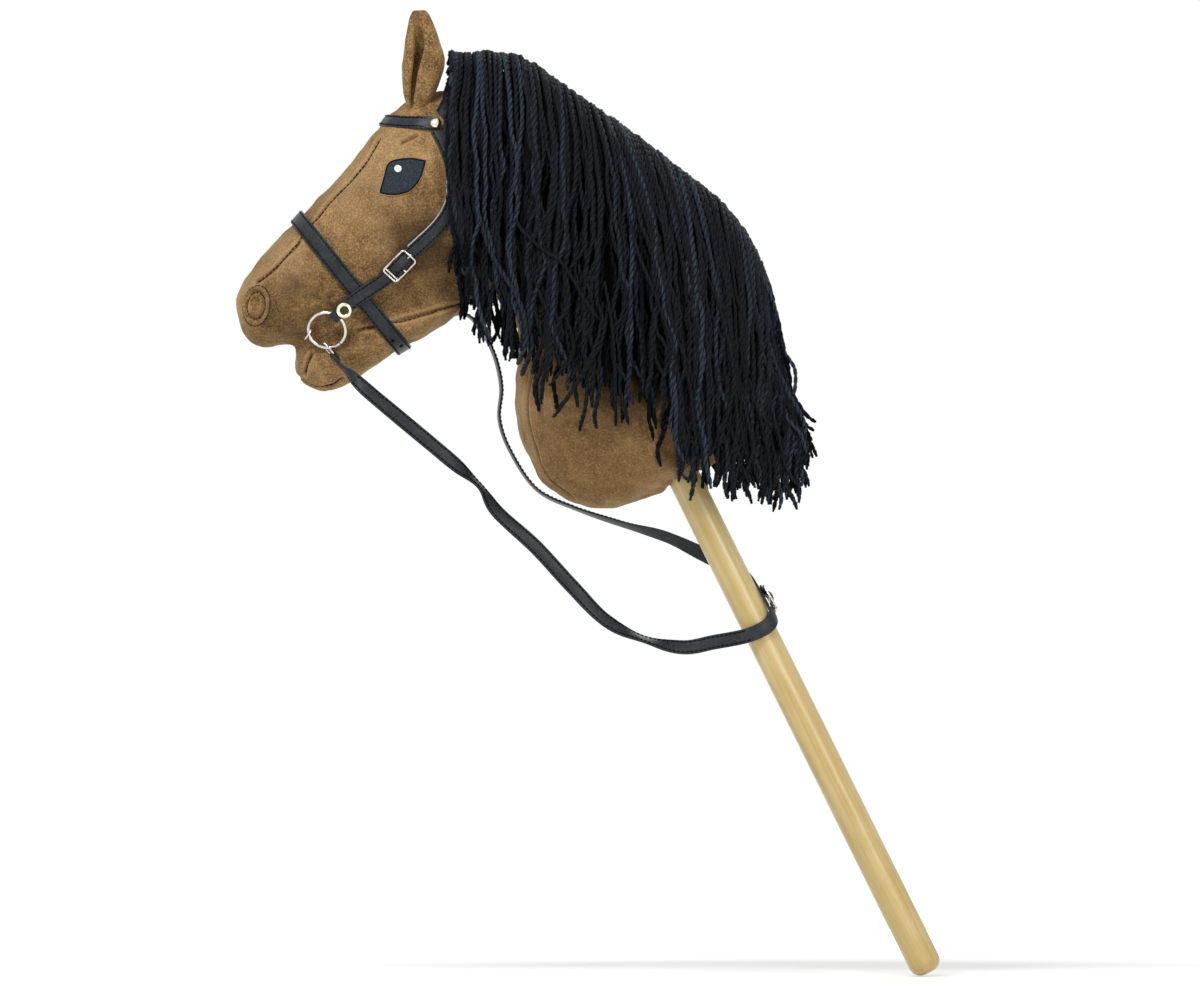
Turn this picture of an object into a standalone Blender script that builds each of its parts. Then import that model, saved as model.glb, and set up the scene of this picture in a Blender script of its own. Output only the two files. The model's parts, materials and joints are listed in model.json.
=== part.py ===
# Hobby horse: a stuffed plush head with a yarn mane and a strap bridle, on a wooden stick.
# Metres, +Z up. The horse looks along -X and its near side faces -Y.
# The stick leans as it does when ridden; the origin is on its axis, where the rider's hand holds it.

import math

import bmesh
import bpy
from mathutils import Matrix, Vector
from mathutils.bvhtree import BVHTree

# Fits
GAP = 0.0003
WIRE_PLAY = 0.0004

# Stick
STICK_DIAMETER = 0.026
STICK_LEAN = math.radians(26.35)
STICK_BELOW_GRIP = 0.287
GRIP_TO_NECK = 0.150
STICK_IN_NECK = 0.185
STICK_FOOT_FLAT = 0.007
STICK_END_ROUNDING = 0.010

# Stuffed forms: the widest half widths, and stations of (front or top point, back or bottom point,
# share of that half width). Points are (x, z) on the middle plane.
HEAD_HALF_WIDTH = 0.055
HEAD_STATIONS = (
    ((-0.212, 0.441), (-0.216, 0.317), 0.55),
    ((-0.250, 0.449), (-0.235, 0.288), 0.92),
    ((-0.292, 0.444), (-0.266, 0.272), 1.0),
    ((-0.313, 0.417), (-0.290, 0.263), 0.96),
    ((-0.333, 0.387), (-0.314, 0.256), 0.87),
    ((-0.356, 0.365), (-0.335, 0.256), 0.78),
    ((-0.378, 0.344), (-0.354, 0.257), 0.73),
    ((-0.396, 0.326), (-0.373, 0.250), 0.70),
    ((-0.413, 0.306), (-0.389, 0.245), 0.65),
    ((-0.426, 0.286), (-0.408, 0.242), 0.53),
    ((-0.427, 0.270), (-0.420, 0.250), 0.25),
)
JAW_HALF_WIDTH = 0.034
JAW_STATIONS = (
    ((-0.250, 0.288), (-0.240, 0.275), 0.56),
    ((-0.277, 0.281), (-0.275, 0.252), 0.98),
    ((-0.311, 0.279), (-0.310, 0.236), 1.0),
    ((-0.342, 0.274), (-0.338, 0.212), 0.86),
    ((-0.366, 0.260), (-0.361, 0.204), 0.72),
    ((-0.381, 0.240), (-0.382, 0.222), 0.34),
)
NECK_HALF_WIDTH = 0.063
NECK_STATIONS = (
    ((-0.246, 0.401), (-0.246, 0.447), 0.38),
    ((-0.242, 0.349), (-0.201, 0.455), 0.67),
    ((-0.229, 0.295), (-0.1495, 0.4215), 0.86),
    ((-0.212, 0.253), (-0.0897, 0.3811), 0.97),
    ((-0.205, 0.213), (-0.0395, 0.3295), 1.0),
    ((-0.200, 0.172), (-0.0175, 0.2685), 1.0),
    ((-0.183, 0.133), (-0.012, 0.218), 0.94),
    ((-0.148, 0.113), (-0.018, 0.184), 0.76),
    ((-0.110, 0.117), (-0.034, 0.161), 0.49),
    ((-0.085, 0.132), (-0.053, 0.146), 0.28),
)
FORM_SIDES = 8
FORM_LEVELS = 2
# A cage of eight sides draws in by this much when it is subdivided.
CAGE_SWELL = 1.02 * 6.0 / (4.0 + 2.0 * math.cos(2.0 * math.pi / FORM_SIDES))

# Ears
EAR_HEIGHT = 0.088
EAR_RADIUS = 0.0205
EAR_PROFILE = (0.40, 0.76, 0.96, 1.0, 0.85, 0.40)
EAR_WALL = 0.005
EAR_BASE_XZ = (-0.2785, 0.425)
EAR_SPREAD = 0.022
EAR_OUTWARD_LEAN = math.radians(6.0)
EAR_WRAP_DEGREES = (170.0, 164.0, 152.0, 146.0, 142.0, 150.0)
EAR_OPENING_TURN = math.radians(76.0)

# Felt patches: (x, z) middles, the eye's outline about its middle, and the nostril's sizes
EYE_CENTRE = (-0.2932, 0.3784)
EYE_OUTLINE = (
    (0.0180, 0.0128),
    (0.0066, 0.0146),
    (-0.0028, 0.0138),
    (-0.0092, 0.0118),
    (-0.0122, 0.0082),
    (-0.0142, 0.0014),
    (-0.0162, -0.0060),
    (-0.0180, -0.0128),
    (-0.0108, -0.0140),
    (-0.0028, -0.0136),
    (0.0052, -0.0100),
    (0.0114, -0.0034),
    (0.0154, 0.0046),
)
EYE_LIGHT_CENTRE = (-0.2968, 0.3848)
EYE_LIGHT_DIAMETER = 0.0056
NOSTRIL_CENTRE = (-0.4100, 0.2760)
NOSTRIL_LENGTH = 0.032
NOSTRIL_HEIGHT = 0.021
NOSTRIL_SLANT = math.radians(80.0)
FELT_THICKNESS = 0.0012

# Straps
STRAP_THICKNESS = 0.0015
STRAP_RISE = 0.0006
BROWBAND_WIDTH = 0.0112
NOSEBAND_WIDTH = 0.0132
CHEEK_WIDTH = 0.0118
CROWN_WIDTH = 0.0118
THROATLATCH_WIDTH = 0.008
REIN_WIDTH = 0.0118
REIN_THICKNESS = 0.0016
STRAP_STEP = 0.0065
CHEEK_STEP = 0.0034

# Each band lies in a plane square to the middle plane, through two (x, z) points.
BROWBAND_FRONT = (-0.3125, 0.4245)
BROWBAND_STUD = (-0.2665, 0.4195)
NOSEBAND_TOP = (-0.3796, 0.3484)
NOSEBAND_BOTTOM = (-0.296, 0.2448)
CROWN_TOP = (-0.250, 0.452)
THROAT_TOP = (-0.224, 0.430)
THROAT_BOTTOM = (-0.242, 0.268)

# Cheek strap, from under the browband's stud to the bit ring, as (x, z)
CHEEK_ROUTE = (
    (-0.2659, 0.4170),
    (-0.2580, 0.4010),
    (-0.2525, 0.3800),
    (-0.2535, 0.3580),
    (-0.2640, 0.3395),
    (-0.2846, 0.3195),
    (-0.2960, 0.3083),
    (-0.3074, 0.2971),
    (-0.3272, 0.2836),
    (-0.3400, 0.2738),
    (-0.3438, 0.2711),
    (-0.3455, 0.2687),
)
STUD_BUTT = 0.0030
BROWBAND_OVERHANG = 0.0055
BUCKLE_CENTRE = (-0.2960, 0.3083)
NOSEBAND_CROSSING = (-0.3272, 0.2836)
RIVET_CENTRE = (-0.3400, 0.2738)
LOOP_WIDTH = 0.009
LOOP_PLAY = 0.0006
LOOP_SLACK = 0.0008

# Buckles: wire frames with a middle bar under the strap and a prong
BUCKLE_LENGTH = 0.0253
BUCKLE_WIRE = 0.0017
BUCKLE_CORNER = 0.0022
BUCKLE_SIDE_PLAY = 0.0005
BUCKLE_TWIN_SPACING = 0.0026
PRONG_WIRE = 0.0013
PRONG_LENGTH = 0.0056
SLOT_PLAY = 0.0005
HUMP_HALF_LENGTH = 0.0075

# Rivets and studs
RIVET_DIAMETER = 0.013
RIVET_HEIGHT = 0.0026
STUD_DIAMETER = 0.0088
STUD_HEIGHT = 0.0024

# Bit
RING_DIAMETER = 0.030
RING_WIRE = 0.0027
RING_BUTT_GAP = 0.0008
RING_BUTT_SEAT = math.radians(-48.0)
RING_JAW_CLEARANCE = 0.0016
BIT_BAR_DIAMETER = 0.003
BIT_EYE_DIAMETER = 0.0098
BIT_EYE_WIRE = 0.0018
BIT_EYE_LEAN = math.radians(56.0)
BIT_EYE_INSET = 0.0019
BIT_ROOM = 0.0006

# Wire links that hold the reins to the rings. Angles are in the (x, z) plane, from +X.
LINK_LENGTH = 0.0120
LINK_WIDTH = 0.0064
LINK_WIRE = 0.0015
LINK_CORNER = 0.0014
LINK_ROLL = math.radians(20.0)
LINK_OUTWARD = 0.30
LINK_SEATS = {"near": math.radians(266.0), "far": math.radians(325.0)}
LINK_TURNS = {"near": math.radians(-48.0), "far": math.radians(3.0)}
LINK_ON_RING = 0.0037
BIT_SEAT = math.radians(195.0)
REIN_END_LENGTH = 0.0075
REIN_END_NARROW = 0.0043
REIN_END_WIDE = 0.0074

# Reins: (x, y, z) through the middle of the strap, and its roll in degrees from facing sideways
REIN_NEAR_ROUTE = (
    (-0.3224, -0.0450, 0.2088, 20.0),
    (-0.2920, -0.0470, 0.1832, 8.0),
    (-0.2584, -0.0460, 0.1552, 15.0),
    (-0.2328, -0.0440, 0.1328, 72.0),
    (-0.2176, -0.0420, 0.1112, 30.0),
    (-0.1872, -0.0380, 0.0832, 12.0),
    (-0.1592, -0.0340, 0.0528, 10.0),
    (-0.1312, -0.0300, 0.0248, 30.0),
    (-0.1008, -0.0250, 0.0096, 66.0),
    (-0.0696, -0.0200, 0.0032, 20.0),
    (-0.0448, -0.0175, 0.0072, 0.0),
    (-0.0200, -0.0165, 0.0120, 0.0),
)
REIN_FAR_ROUTE = (
    (-0.2990, 0.0485, 0.2520, 76.0),
    (-0.2720, 0.0515, 0.2640, 78.0),
    (-0.2472, 0.0490, 0.2704, 75.0),
    (-0.2328, 0.0440, 0.2590, 68.0),
    (-0.2208, 0.0415, 0.2368, 62.0),
    (-0.2152, 0.0400, 0.2112, 66.0),
    (-0.2168, 0.0385, 0.1856, 74.0),
    (-0.2080, 0.0370, 0.1600, 74.0),
    (-0.1872, 0.0340, 0.1296, 70.0),
    (-0.1568, 0.0300, 0.1144, 66.0),
    (-0.1184, 0.0240, 0.1016, 50.0),
    (-0.0824, 0.0190, 0.0912, 25.0),
    (-0.0520, 0.0165, 0.0768, 5.0),
    (-0.0336, 0.0152, 0.0672, 0.0),
)
REIN_STEP = 0.010
REIN_FINE_STEP = 0.0045
# Round the stick: (degrees about its axis from its upper side, height above the grip, radius)
REIN_NEAR_WRAP = ((-77.0, 0.0185, 0.0157), (-40.0, 0.0212, 0.0163))
REIN_FAR_WRAP = ((56.0, 0.0622, 0.0147),)
REIN_BUCKLE_TURN = 8.0
REIN_BUCKLE_HEIGHT = 0.0378
REIN_BUCKLE_SLANT = math.radians(25.0)
REIN_BUCKLE_LENGTH = 0.0215
REIN_OVERLAP = (-0.0105, 0.0115)
REIN_FAR_TIP = -0.0065

# Mane: where it is sewn along the crest, and the tips of its locks, as (x, z)
MANE_ROOTS = (
    (-0.2560, 0.4600),
    (-0.2160, 0.4584),
    (-0.1800, 0.4448),
    (-0.1440, 0.4264),
    (-0.1120, 0.4064),
    (-0.0816, 0.3864),
    (-0.0560, 0.3632),
    (-0.0336, 0.3312),
    (-0.0200, 0.2992),
    (-0.0128, 0.2672),
    (-0.0104, 0.2328),
)
MANE_TIPS = (
    (-0.2432, 0.2976),
    (-0.2312, 0.2560),
    (-0.2048, 0.2352),
    (-0.1824, 0.2208),
    (-0.1752, 0.1848),
    (-0.1480, 0.1816),
    (-0.1232, 0.1768),
    (-0.0864, 0.1704),
    (-0.0720, 0.1464),
    (-0.0560, 0.1360),
    (-0.0432, 0.1448),
    (-0.0272, 0.1256),
    (-0.0160, 0.1384),
    (-0.0040, 0.1256),
    (0.0104, 0.1272),
    (0.0216, 0.1328),
    (0.0320, 0.1560),
)
MANE_NOTCH = 0.016
MANE_LOCKS = 12
MANE_ROWS = 9
MANE_POLL_THICKNESS = 0.0135
MANE_CREST_THICKNESS = 0.0082
MANE_TIP_THICKNESS = 0.005
MANE_RIDGE = 0.0022
MANE_POLL_LIFT = 0.0105
MANE_SHOULDER_LIFT = 0.0075
MANE_CLEARANCE = 0.0092
MANE_FALL = 0.0004
MANE_FRONT_BULGE = 0.010
MANE_PARTING = 0.0004

# The hem's tie, in the gathered end of the neck
TIE_DIAMETER = 0.0022
TIE_ABOVE_EXIT = 0.010

SHARP_ANGLE = math.radians(40.0)
SPIN_MERGE = 0.00001
NEAR, FAR = -1.0, 1.0
SIDES = (("near", NEAR), ("far", FAR))


# Scene and materials

for old in list(bpy.data.objects):
    bpy.data.objects.remove(old, do_unlink=True)

PARTS = bpy.data.collections.new("hobby_horse")
GUIDES = bpy.data.collections.new("guides")
for collection in (PARTS, GUIDES):
    bpy.context.scene.collection.children.link(collection)


def material(name, colour, roughness, metallic=0.0):
    made = bpy.data.materials.new(name)
    made.use_nodes = True
    shader = made.node_tree.nodes["Principled BSDF"]
    shader.inputs["Base Color"].default_value = (*colour, 1.0)
    shader.inputs["Roughness"].default_value = roughness
    shader.inputs["Metallic"].default_value = metallic
    made.diffuse_color = (*colour, 1.0)
    return made


PLUSH = material("brown_plush", (0.25, 0.14, 0.06), 0.95)
WOOD = material("pale_wood", (0.72, 0.52, 0.24), 0.45)
YARN = material("black_yarn", (0.012, 0.014, 0.02), 0.9)
STRAP = material("black_strap", (0.02, 0.024, 0.028), 0.4)
FELT = material("black_felt", (0.01, 0.012, 0.016), 0.9)
WHITE = material("white_felt", (0.85, 0.85, 0.85), 0.8)
NICKEL = material("nickel_steel", (0.75, 0.72, 0.68), 0.25, 1.0)
BRASS = material("pale_brass", (0.78, 0.66, 0.42), 0.3, 1.0)
TWINE = material("waxed_twine", (0.4, 0.3, 0.2), 0.8)


def add_object(name, data, finish=None, home=PARTS):
    made = bpy.data.objects.new(name, data)
    home.objects.link(made)
    if finish:
        data.materials.append(finish)
    if home is GUIDES:
        made.hide_render = True
        made.display_type = "WIRE"
    return made


def mesh_from(name, shape):
    bmesh.ops.recalc_face_normals(shape, faces=shape.faces)
    mesh = bpy.data.meshes.new(name)
    shape.to_mesh(mesh)
    shape.free()
    mesh.shade_smooth()
    mesh.set_sharp_from_angle(angle=SHARP_ANGLE)
    return mesh


def subdivide(obj, levels):
    added = obj.modifiers.new("soft", "SUBSURF")
    added.levels = levels
    added.render_levels = levels


def cut(obj, cutter, operation="DIFFERENCE"):
    added = obj.modifiers.new(f"{operation.lower()} {cutter.name}", "BOOLEAN")
    added.operation = operation
    added.object = cutter


def evaluated(obj):
    bpy.context.view_layer.update()
    return obj.evaluated_get(bpy.context.evaluated_depsgraph_get())


# Stuffed forms


def station_ring(station, half_width):
    first, second, share = station
    first = Vector((first[0], 0.0, first[1]))
    second = Vector((second[0], 0.0, second[1]))
    middle = (first + second) / 2.0
    up = (first - second) / 2.0 * CAGE_SWELL
    out = Vector((0.0, half_width * share * CAGE_SWELL, 0.0))
    turn = 2.0 * math.pi / FORM_SIDES
    return [middle + up * math.cos(turn * k) + out * math.sin(turn * k) for k in range(FORM_SIDES)]


def loft(rings, closed=False):
    shape = bmesh.new()
    rows = [[shape.verts.new(point) for point in ring] for ring in rings]
    count = len(rows[0])
    pairs = list(zip(rows, rows[1:]))
    if closed:
        pairs.append((rows[-1], rows[0]))
    for row, following in pairs:
        for k in range(count):
            after = (k + 1) % count
            shape.faces.new((row[k], row[after], following[after], following[k]))
    if not closed:
        shape.faces.new(rows[0])
        shape.faces.new(rows[-1])
    return shape


def form(name, stations, half_width):
    rings = [station_ring(station, half_width) for station in stations]
    made = add_object(name, mesh_from(name, loft(rings)), PLUSH)
    subdivide(made, FORM_LEVELS)
    return made


def grown_copy(source, by, name):
    made = add_object(name, source.data.copy(), None, GUIDES)
    subdivide(made, FORM_LEVELS)
    swell = made.modifiers.new("grow", "DISPLACE")
    swell.strength = by
    swell.mid_level = 0.0
    return made


neck = form("neck", NECK_STATIONS, NECK_HALF_WIDTH)
head = form("head", HEAD_STATIONS, HEAD_HALF_WIDTH)
jaw = form("lower_jaw", JAW_STATIONS, JAW_HALF_WIDTH)


def tree_of(obj):
    shown = evaluated(obj)
    return BVHTree.FromObject(shown, bpy.context.evaluated_depsgraph_get())


def hull_tree(objects):
    """The stretched skin that straps lie on, which bridges the crease at the mouth."""
    shape = bmesh.new()
    for obj in objects:
        shape.from_mesh(evaluated(obj).to_mesh())
    bmesh.ops.convex_hull(shape, input=shape.verts)
    tree = BVHTree.FromBMesh(shape)
    shape.free()
    return tree


FORM_TREES = [tree_of(obj) for obj in (neck, head, jaw)]
STRAP_TREES = [hull_tree((head, jaw)), FORM_TREES[0]]
REACH = 0.4


def cast(trees, origin, direction):
    """The nearest hit of a ray on any of the trees, as (point, normal)."""
    hits = [tree.ray_cast(origin, direction) for tree in trees]
    hits = [hit for hit in hits if hit[0] is not None]
    if not hits:
        return None
    found = min(hits, key=lambda hit: hit[3])
    return found[0], found[1]


def from_side(trees, x, z, side):
    return cast(trees, Vector((x, side * REACH, z)), Vector((0.0, -side, 0.0)))


def clearance_to_forms(point):
    return min(tree.find_nearest(point)[3] for tree in FORM_TREES)


head_room = grown_copy(head, GAP, "head_room")
neck_room = grown_copy(neck, GAP, "neck_room")
cut(head, neck_room)
cut(jaw, neck_room)
cut(jaw, head_room)


# Stick, and its socket in the neck

STICK_AXIS = Vector((math.sin(STICK_LEAN), 0.0, -math.cos(STICK_LEAN)))
STICK_ACROSS = Vector((math.cos(STICK_LEAN), 0.0, math.sin(STICK_LEAN)))
ALONG_STICK = Matrix((STICK_ACROSS, Vector((0.0, 1.0, 0.0)), -STICK_AXIS)).transposed().to_4x4()


def turned(name, profile, steps, finish, home=PARTS):
    """A profile of (radius, height) down its outer side, spun round its own Z axis."""
    shape = bmesh.new()
    points = [shape.verts.new((radius, 0.0, height)) for radius, height in profile]
    for start, end in zip(points, points[1:]):
        shape.edges.new((start, end))
    mesh = bpy.data.meshes.new(name)
    shape.to_mesh(mesh)
    shape.free()
    made = add_object(name, mesh, finish, home)
    spin = made.modifiers.new("spin", "SCREW")
    spin.steps = steps
    spin.render_steps = steps
    spin.use_merge_vertices = True
    spin.merge_threshold = SPIN_MERGE
    spin.use_smooth_shade = True
    return made


def stick_profile(radius, top, bottom):
    corner = min(STICK_END_ROUNDING, radius * 0.9)
    flat = max(radius - corner, STICK_FOOT_FLAT / 2.0)
    arc = [math.pi / 2.0 * k / 3 for k in range(4)]
    upper = [(flat + (radius - flat) * math.sin(a), top - corner * (1.0 - math.cos(a))) for a in arc]
    lower = [(flat + (radius - flat) * math.cos(a), bottom + corner * (1.0 - math.sin(a))) for a in arc]
    return [(0.0, top), *upper, *lower, (0.0, bottom)]


STICK_TOP = GRIP_TO_NECK + STICK_IN_NECK
stick = turned("stick", stick_profile(STICK_DIAMETER / 2.0, STICK_TOP, -STICK_BELOW_GRIP), 24, WOOD)
stick.matrix_world = ALONG_STICK
socket = turned(
    "stick_socket", stick_profile(STICK_DIAMETER / 2.0 + GAP, STICK_TOP + GAP, 0.0), 24, None, GUIDES
)
socket.matrix_world = ALONG_STICK
cut(neck, socket)


def ring_of_wire(name, diameter, wire, steps, finish, home=PARTS):
    """A closed ring of round wire about its own Z axis."""
    profile = [2.0 * math.pi * k / 6 for k in range(6)]
    rings = []
    for step in range(steps):
        turn = 2.0 * math.pi * step / steps
        out = Vector((math.cos(turn), math.sin(turn), 0.0))
        ring = []
        for around in profile:
            height = Vector((0.0, 0.0, wire / 2.0 * math.sin(around)))
            ring.append(out * (diameter / 2.0 + wire / 2.0 * math.cos(around)) + height)
        rings.append(ring)
    return add_object(name, mesh_from(name, loft(rings, closed=True)), finish, home)


TIE_RING = STICK_DIAMETER + 2.0 * GAP + TIE_DIAMETER
tie_place = ALONG_STICK @ Matrix.Translation((0.0, 0.0, GRIP_TO_NECK + TIE_ABOVE_EXIT))
tie = ring_of_wire("hem_tie", TIE_RING, TIE_DIAMETER, 20, TWINE)
tie.matrix_world = tie_place
tie_room = ring_of_wire("hem_tie_room", TIE_RING, TIE_DIAMETER + 2.0 * GAP, 20, None, GUIDES)
tie_room.matrix_world = tie_place
cut(neck, tie_room)


# Ears


def ear(name, side):
    rows, columns = 5, 5
    base = Vector((EAR_BASE_XZ[0], side * EAR_SPREAD, EAR_BASE_XZ[1]))
    up = Vector((0.0, side * math.sin(EAR_OUTWARD_LEAN), math.cos(EAR_OUTWARD_LEAN)))
    ahead = Vector((-math.cos(EAR_OPENING_TURN), side * math.sin(EAR_OPENING_TURN), 0.0))
    ahead = (ahead - up * ahead.dot(up)).normalized()
    across = up.cross(ahead)
    shape = bmesh.new()
    grid = []
    for row in range(rows + 1):
        share = row / rows
        radius = EAR_RADIUS * EAR_PROFILE[row]
        wrap = math.radians(EAR_WRAP_DEGREES[row])
        line = []
        for column in range(columns + 1):
            turn = wrap * (2.0 * column / columns - 1.0)
            out = across * math.sin(turn) - ahead * math.cos(turn)
            line.append(shape.verts.new(base + up * EAR_HEIGHT * share + out * radius))
        grid.append(line)
    for low, high in zip(grid, grid[1:]):
        for k in range(columns):
            shape.faces.new((low[k], low[k + 1], high[k + 1], high[k]))
    mesh = mesh_from(name, shape)
    made = add_object(name, mesh, PLUSH)
    wall = made.modifiers.new("wall", "SOLIDIFY")
    wall.thickness = EAR_WALL
    wall.offset = 0.0
    subdivide(made, 1)
    cut(made, head_room)
    cut(made, neck_room)
    return made


for word, side in SIDES:
    ear(f"ear_{word}", side)


# Felt patches on the skin


def patch(name, centre, outline, side, finish, lift=0.0, rings=2):
    """A thin felt shape that follows the skin. The outline gives (x, z) about the centre."""
    shape = bmesh.new()

    def seat(x, z):
        point, normal = from_side(FORM_TREES, x, z, side)
        return shape.verts.new(point + normal * (GAP + STRAP_RISE / 2.0 + lift))

    middle = seat(*centre)
    rows = []
    for ring in range(1, rings + 1):
        share = ring / rings
        rows.append([seat(centre[0] + x * share, centre[1] + z * share) for x, z in outline])
    count = len(outline)
    for k in range(count):
        after = (k + 1) % count
        shape.faces.new((middle, rows[0][k], rows[0][after]))
        for inner, outer in zip(rows, rows[1:]):
            shape.faces.new((inner[k], outer[k], outer[after], inner[after]))
    bmesh.ops.recalc_face_normals(shape, faces=shape.faces)
    shape.faces.ensure_lookup_table()
    if shape.faces[0].normal.y * side < 0.0:
        bmesh.ops.reverse_faces(shape, faces=shape.faces)
    mesh = bpy.data.meshes.new(name)
    shape.to_mesh(mesh)
    shape.free()
    made = add_object(name, mesh, finish)
    felt = made.modifiers.new("felt", "SOLIDIFY")
    felt.thickness = FELT_THICKNESS
    felt.offset = 1.0
    return made


def slanted(points, slant):
    return [
        (x * math.cos(slant) - z * math.sin(slant), x * math.sin(slant) + z * math.cos(slant))
        for x, z in points
    ]


def oval(length, height, count):
    turns = [2.0 * math.pi * k / count for k in range(count)]
    return [(length / 2.0 * math.cos(turn), height / 2.0 * math.sin(turn)) for turn in turns]


for word, side in SIDES:
    patch(f"eye_{word}", EYE_CENTRE, EYE_OUTLINE, side, FELT)
    patch(
        f"eye_light_{word}",
        EYE_LIGHT_CENTRE,
        oval(EYE_LIGHT_DIAMETER, EYE_LIGHT_DIAMETER, 10),
        side,
        WHITE,
        lift=FELT_THICKNESS + STRAP_RISE,
        rings=1,
    )
    patch(
        f"nostril_{word}",
        NOSTRIL_CENTRE,
        slanted(oval(NOSTRIL_LENGTH, NOSTRIL_HEIGHT, 16), NOSTRIL_SLANT),
        side,
        PLUSH,
    )


# Straps


def catmull(before, start, end, after, t):
    return 0.5 * (
        2.0 * start
        + (end - before) * t
        + (2.0 * before - 5.0 * start + 4.0 * end - after) * t**2
        + (3.0 * start - before - 3.0 * end + after) * t**3
    )


def smooth_curve(points, step):
    """A smooth curve through the points, as samples about one step apart."""
    points = [Vector(point) for point in points]
    padded = [points[0] * 2.0 - points[1], *points, points[-1] * 2.0 - points[-2]]
    samples = []
    for k in range(1, len(padded) - 2):
        before, start, end, after = padded[k - 1 : k + 3]
        count = max(1, round((end - start).length / step))
        for part in range(count):
            samples.append(catmull(before, start, end, after, part / count))
    samples.append(points[-1])
    return samples


def frames_from(hits, closed=False):
    """(point, tangent, normal) at each hit, with the facets' normals evened out."""
    count = len(hits)

    def at(k):
        return hits[k % count] if closed else hits[min(max(k, 0), count - 1)]

    frames = []
    for k in range(count):
        tangent = (at(k + 1)[0] - at(k - 1)[0]).normalized()
        normal = sum((at(k + j)[1] for j in range(-3, 4)), Vector())
        normal = (normal - tangent * normal.dot(tangent)).normalized()
        frames.append((at(k)[0], tangent, normal))
    return frames


def across(value, low, high):
    """0 below low, 1 above high, and an even ramp between."""
    value = min(1.0, max(0.0, (value - low) / (high - low)))
    return value * value * (3.0 - 2.0 * value)


SEAT = GAP + STRAP_RISE / 2.0
OVER_STRAP = STRAP_THICKNESS + GAP + STRAP_RISE


def squared(middles, asides):
    """Sections (middle, normal, aside) along a path, each square to it."""
    sections = []
    for k, (middle, aside) in enumerate(zip(middles, asides)):
        ahead = middles[min(k + 1, len(middles) - 1)]
        behind = middles[max(k - 1, 0)]
        tangent = (ahead - behind).normalized()
        aside = (aside - tangent * aside.dot(tangent)).normalized()
        sections.append((middle, tangent.cross(aside).normalized(), aside))
    return sections


def sections_over(frames, lift=None):
    """Strap sections on the skin: its inner face's middle, its normal and its side."""
    middles = []
    asides = []
    for k, (point, tangent, normal) in enumerate(frames):
        middles.append(point + normal * (SEAT + (lift(k) if lift else 0.0)))
        asides.append(normal.cross(tangent).normalized())
    return squared(middles, asides)


RESTING_REACH = 0.012


def resting(sections, width, closed=False):
    """The sections raised where the skin would come through the strap's width."""
    needed = []
    for middle, normal, aside in sections:
        rise = 0.0
        for share in (-0.5, -0.25, 0.0, 0.25, 0.5):
            point = middle + aside * width * share
            found = cast(FORM_TREES, point + normal * RESTING_REACH, -normal)
            if found and found[1].dot(normal) > 0.0:
                rise = max(rise, (found[0] - point).dot(normal) + SEAT * 1.2)
        needed.append(rise)
    count = len(needed)

    def at(k):
        return needed[k % count] if closed else needed[min(max(k, 0), count - 1)]

    wide = [max(at(k - 1), at(k), at(k + 1)) for k in range(count)]
    return [
        (middle + normal * rise, normal, aside) for rise, (middle, normal, aside) in zip(wide, sections)
    ]


def ribbon_mesh(name, sections, widths, thickness, closed=False):
    rings = []
    for (middle, normal, aside), width in zip(sections, widths):
        half = aside * width / 2.0
        up = normal * thickness
        rings.append([middle - half, middle + half, middle + half + up, middle - half + up])
    return mesh_from(name, loft(rings, closed))


def ribbon(name, sections, width, thickness, closed=False):
    mesh = ribbon_mesh(name, sections, [width] * len(sections), thickness, closed)
    return add_object(name, mesh, STRAP)


def frame_at(origin, tangent, normal):
    """A matrix whose X is the tangent and Z the normal."""
    made = Matrix((tangent, normal.cross(tangent), normal)).transposed().to_4x4()
    made.translation = origin
    return made


def wire_through(points, across_axis, wire, closed, sides=6):
    """Round wire along points in one plane, whose normal is across_axis."""
    turns = [2.0 * math.pi * (k + 0.5) / sides for k in range(sides)]
    count = len(points)
    rings = []
    for k, point in enumerate(points):
        before = points[k - 1] if closed or k else point
        after = points[(k + 1) % count] if closed or k < count - 1 else point
        out = (after - before).normalized().cross(across_axis).normalized()
        rings.append(
            [point + (out * math.cos(turn) + across_axis * math.sin(turn)) * wire / 2.0 for turn in turns]
        )
    return loft(rings, closed)


def rounded_rectangle(length, width, corner, steps=3):
    """Points (x, y) round a rectangle of these overall sizes."""
    points = []
    quarters = ((1, 1, 0), (-1, 1, 1), (-1, -1, 2), (1, -1, 3))
    for x_sign, y_sign, quarter in quarters:
        middle_x = x_sign * (length / 2.0 - corner)
        middle_y = y_sign * (width / 2.0 - corner)
        for step in range(steps + 1):
            turn = math.pi / 2.0 * (quarter + step / steps)
            points.append((middle_x + corner * math.cos(turn), middle_y + corner * math.sin(turn)))
    return points


def seat_origin(obj, point):
    obj.data.transform(Matrix.Translation(-point))
    obj.location = point


def band_hits(first, second, start, end, step):
    """Where the band's plane meets the skin, from one angle to the other. 0 is at the first point."""
    first = Vector((first[0], 0.0, first[1]))
    second = Vector((second[0], 0.0, second[1]))
    centre = (first + second) / 2.0
    ahead = (first - second).normalized()
    fine = []
    count = 180
    for k in range(count + 1):
        turn = math.radians(start + (end - start) * k / count)
        outward = ahead * math.cos(turn) + Vector((0.0, math.sin(turn), 0.0))
        found = cast(STRAP_TREES, centre + outward * REACH, -outward)
        if found:
            fine.append(found)
    even = [fine[0]]
    for found in fine[1:]:
        if (found[0] - even[-1][0]).length >= step:
            even.append(found)
    return even


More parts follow.
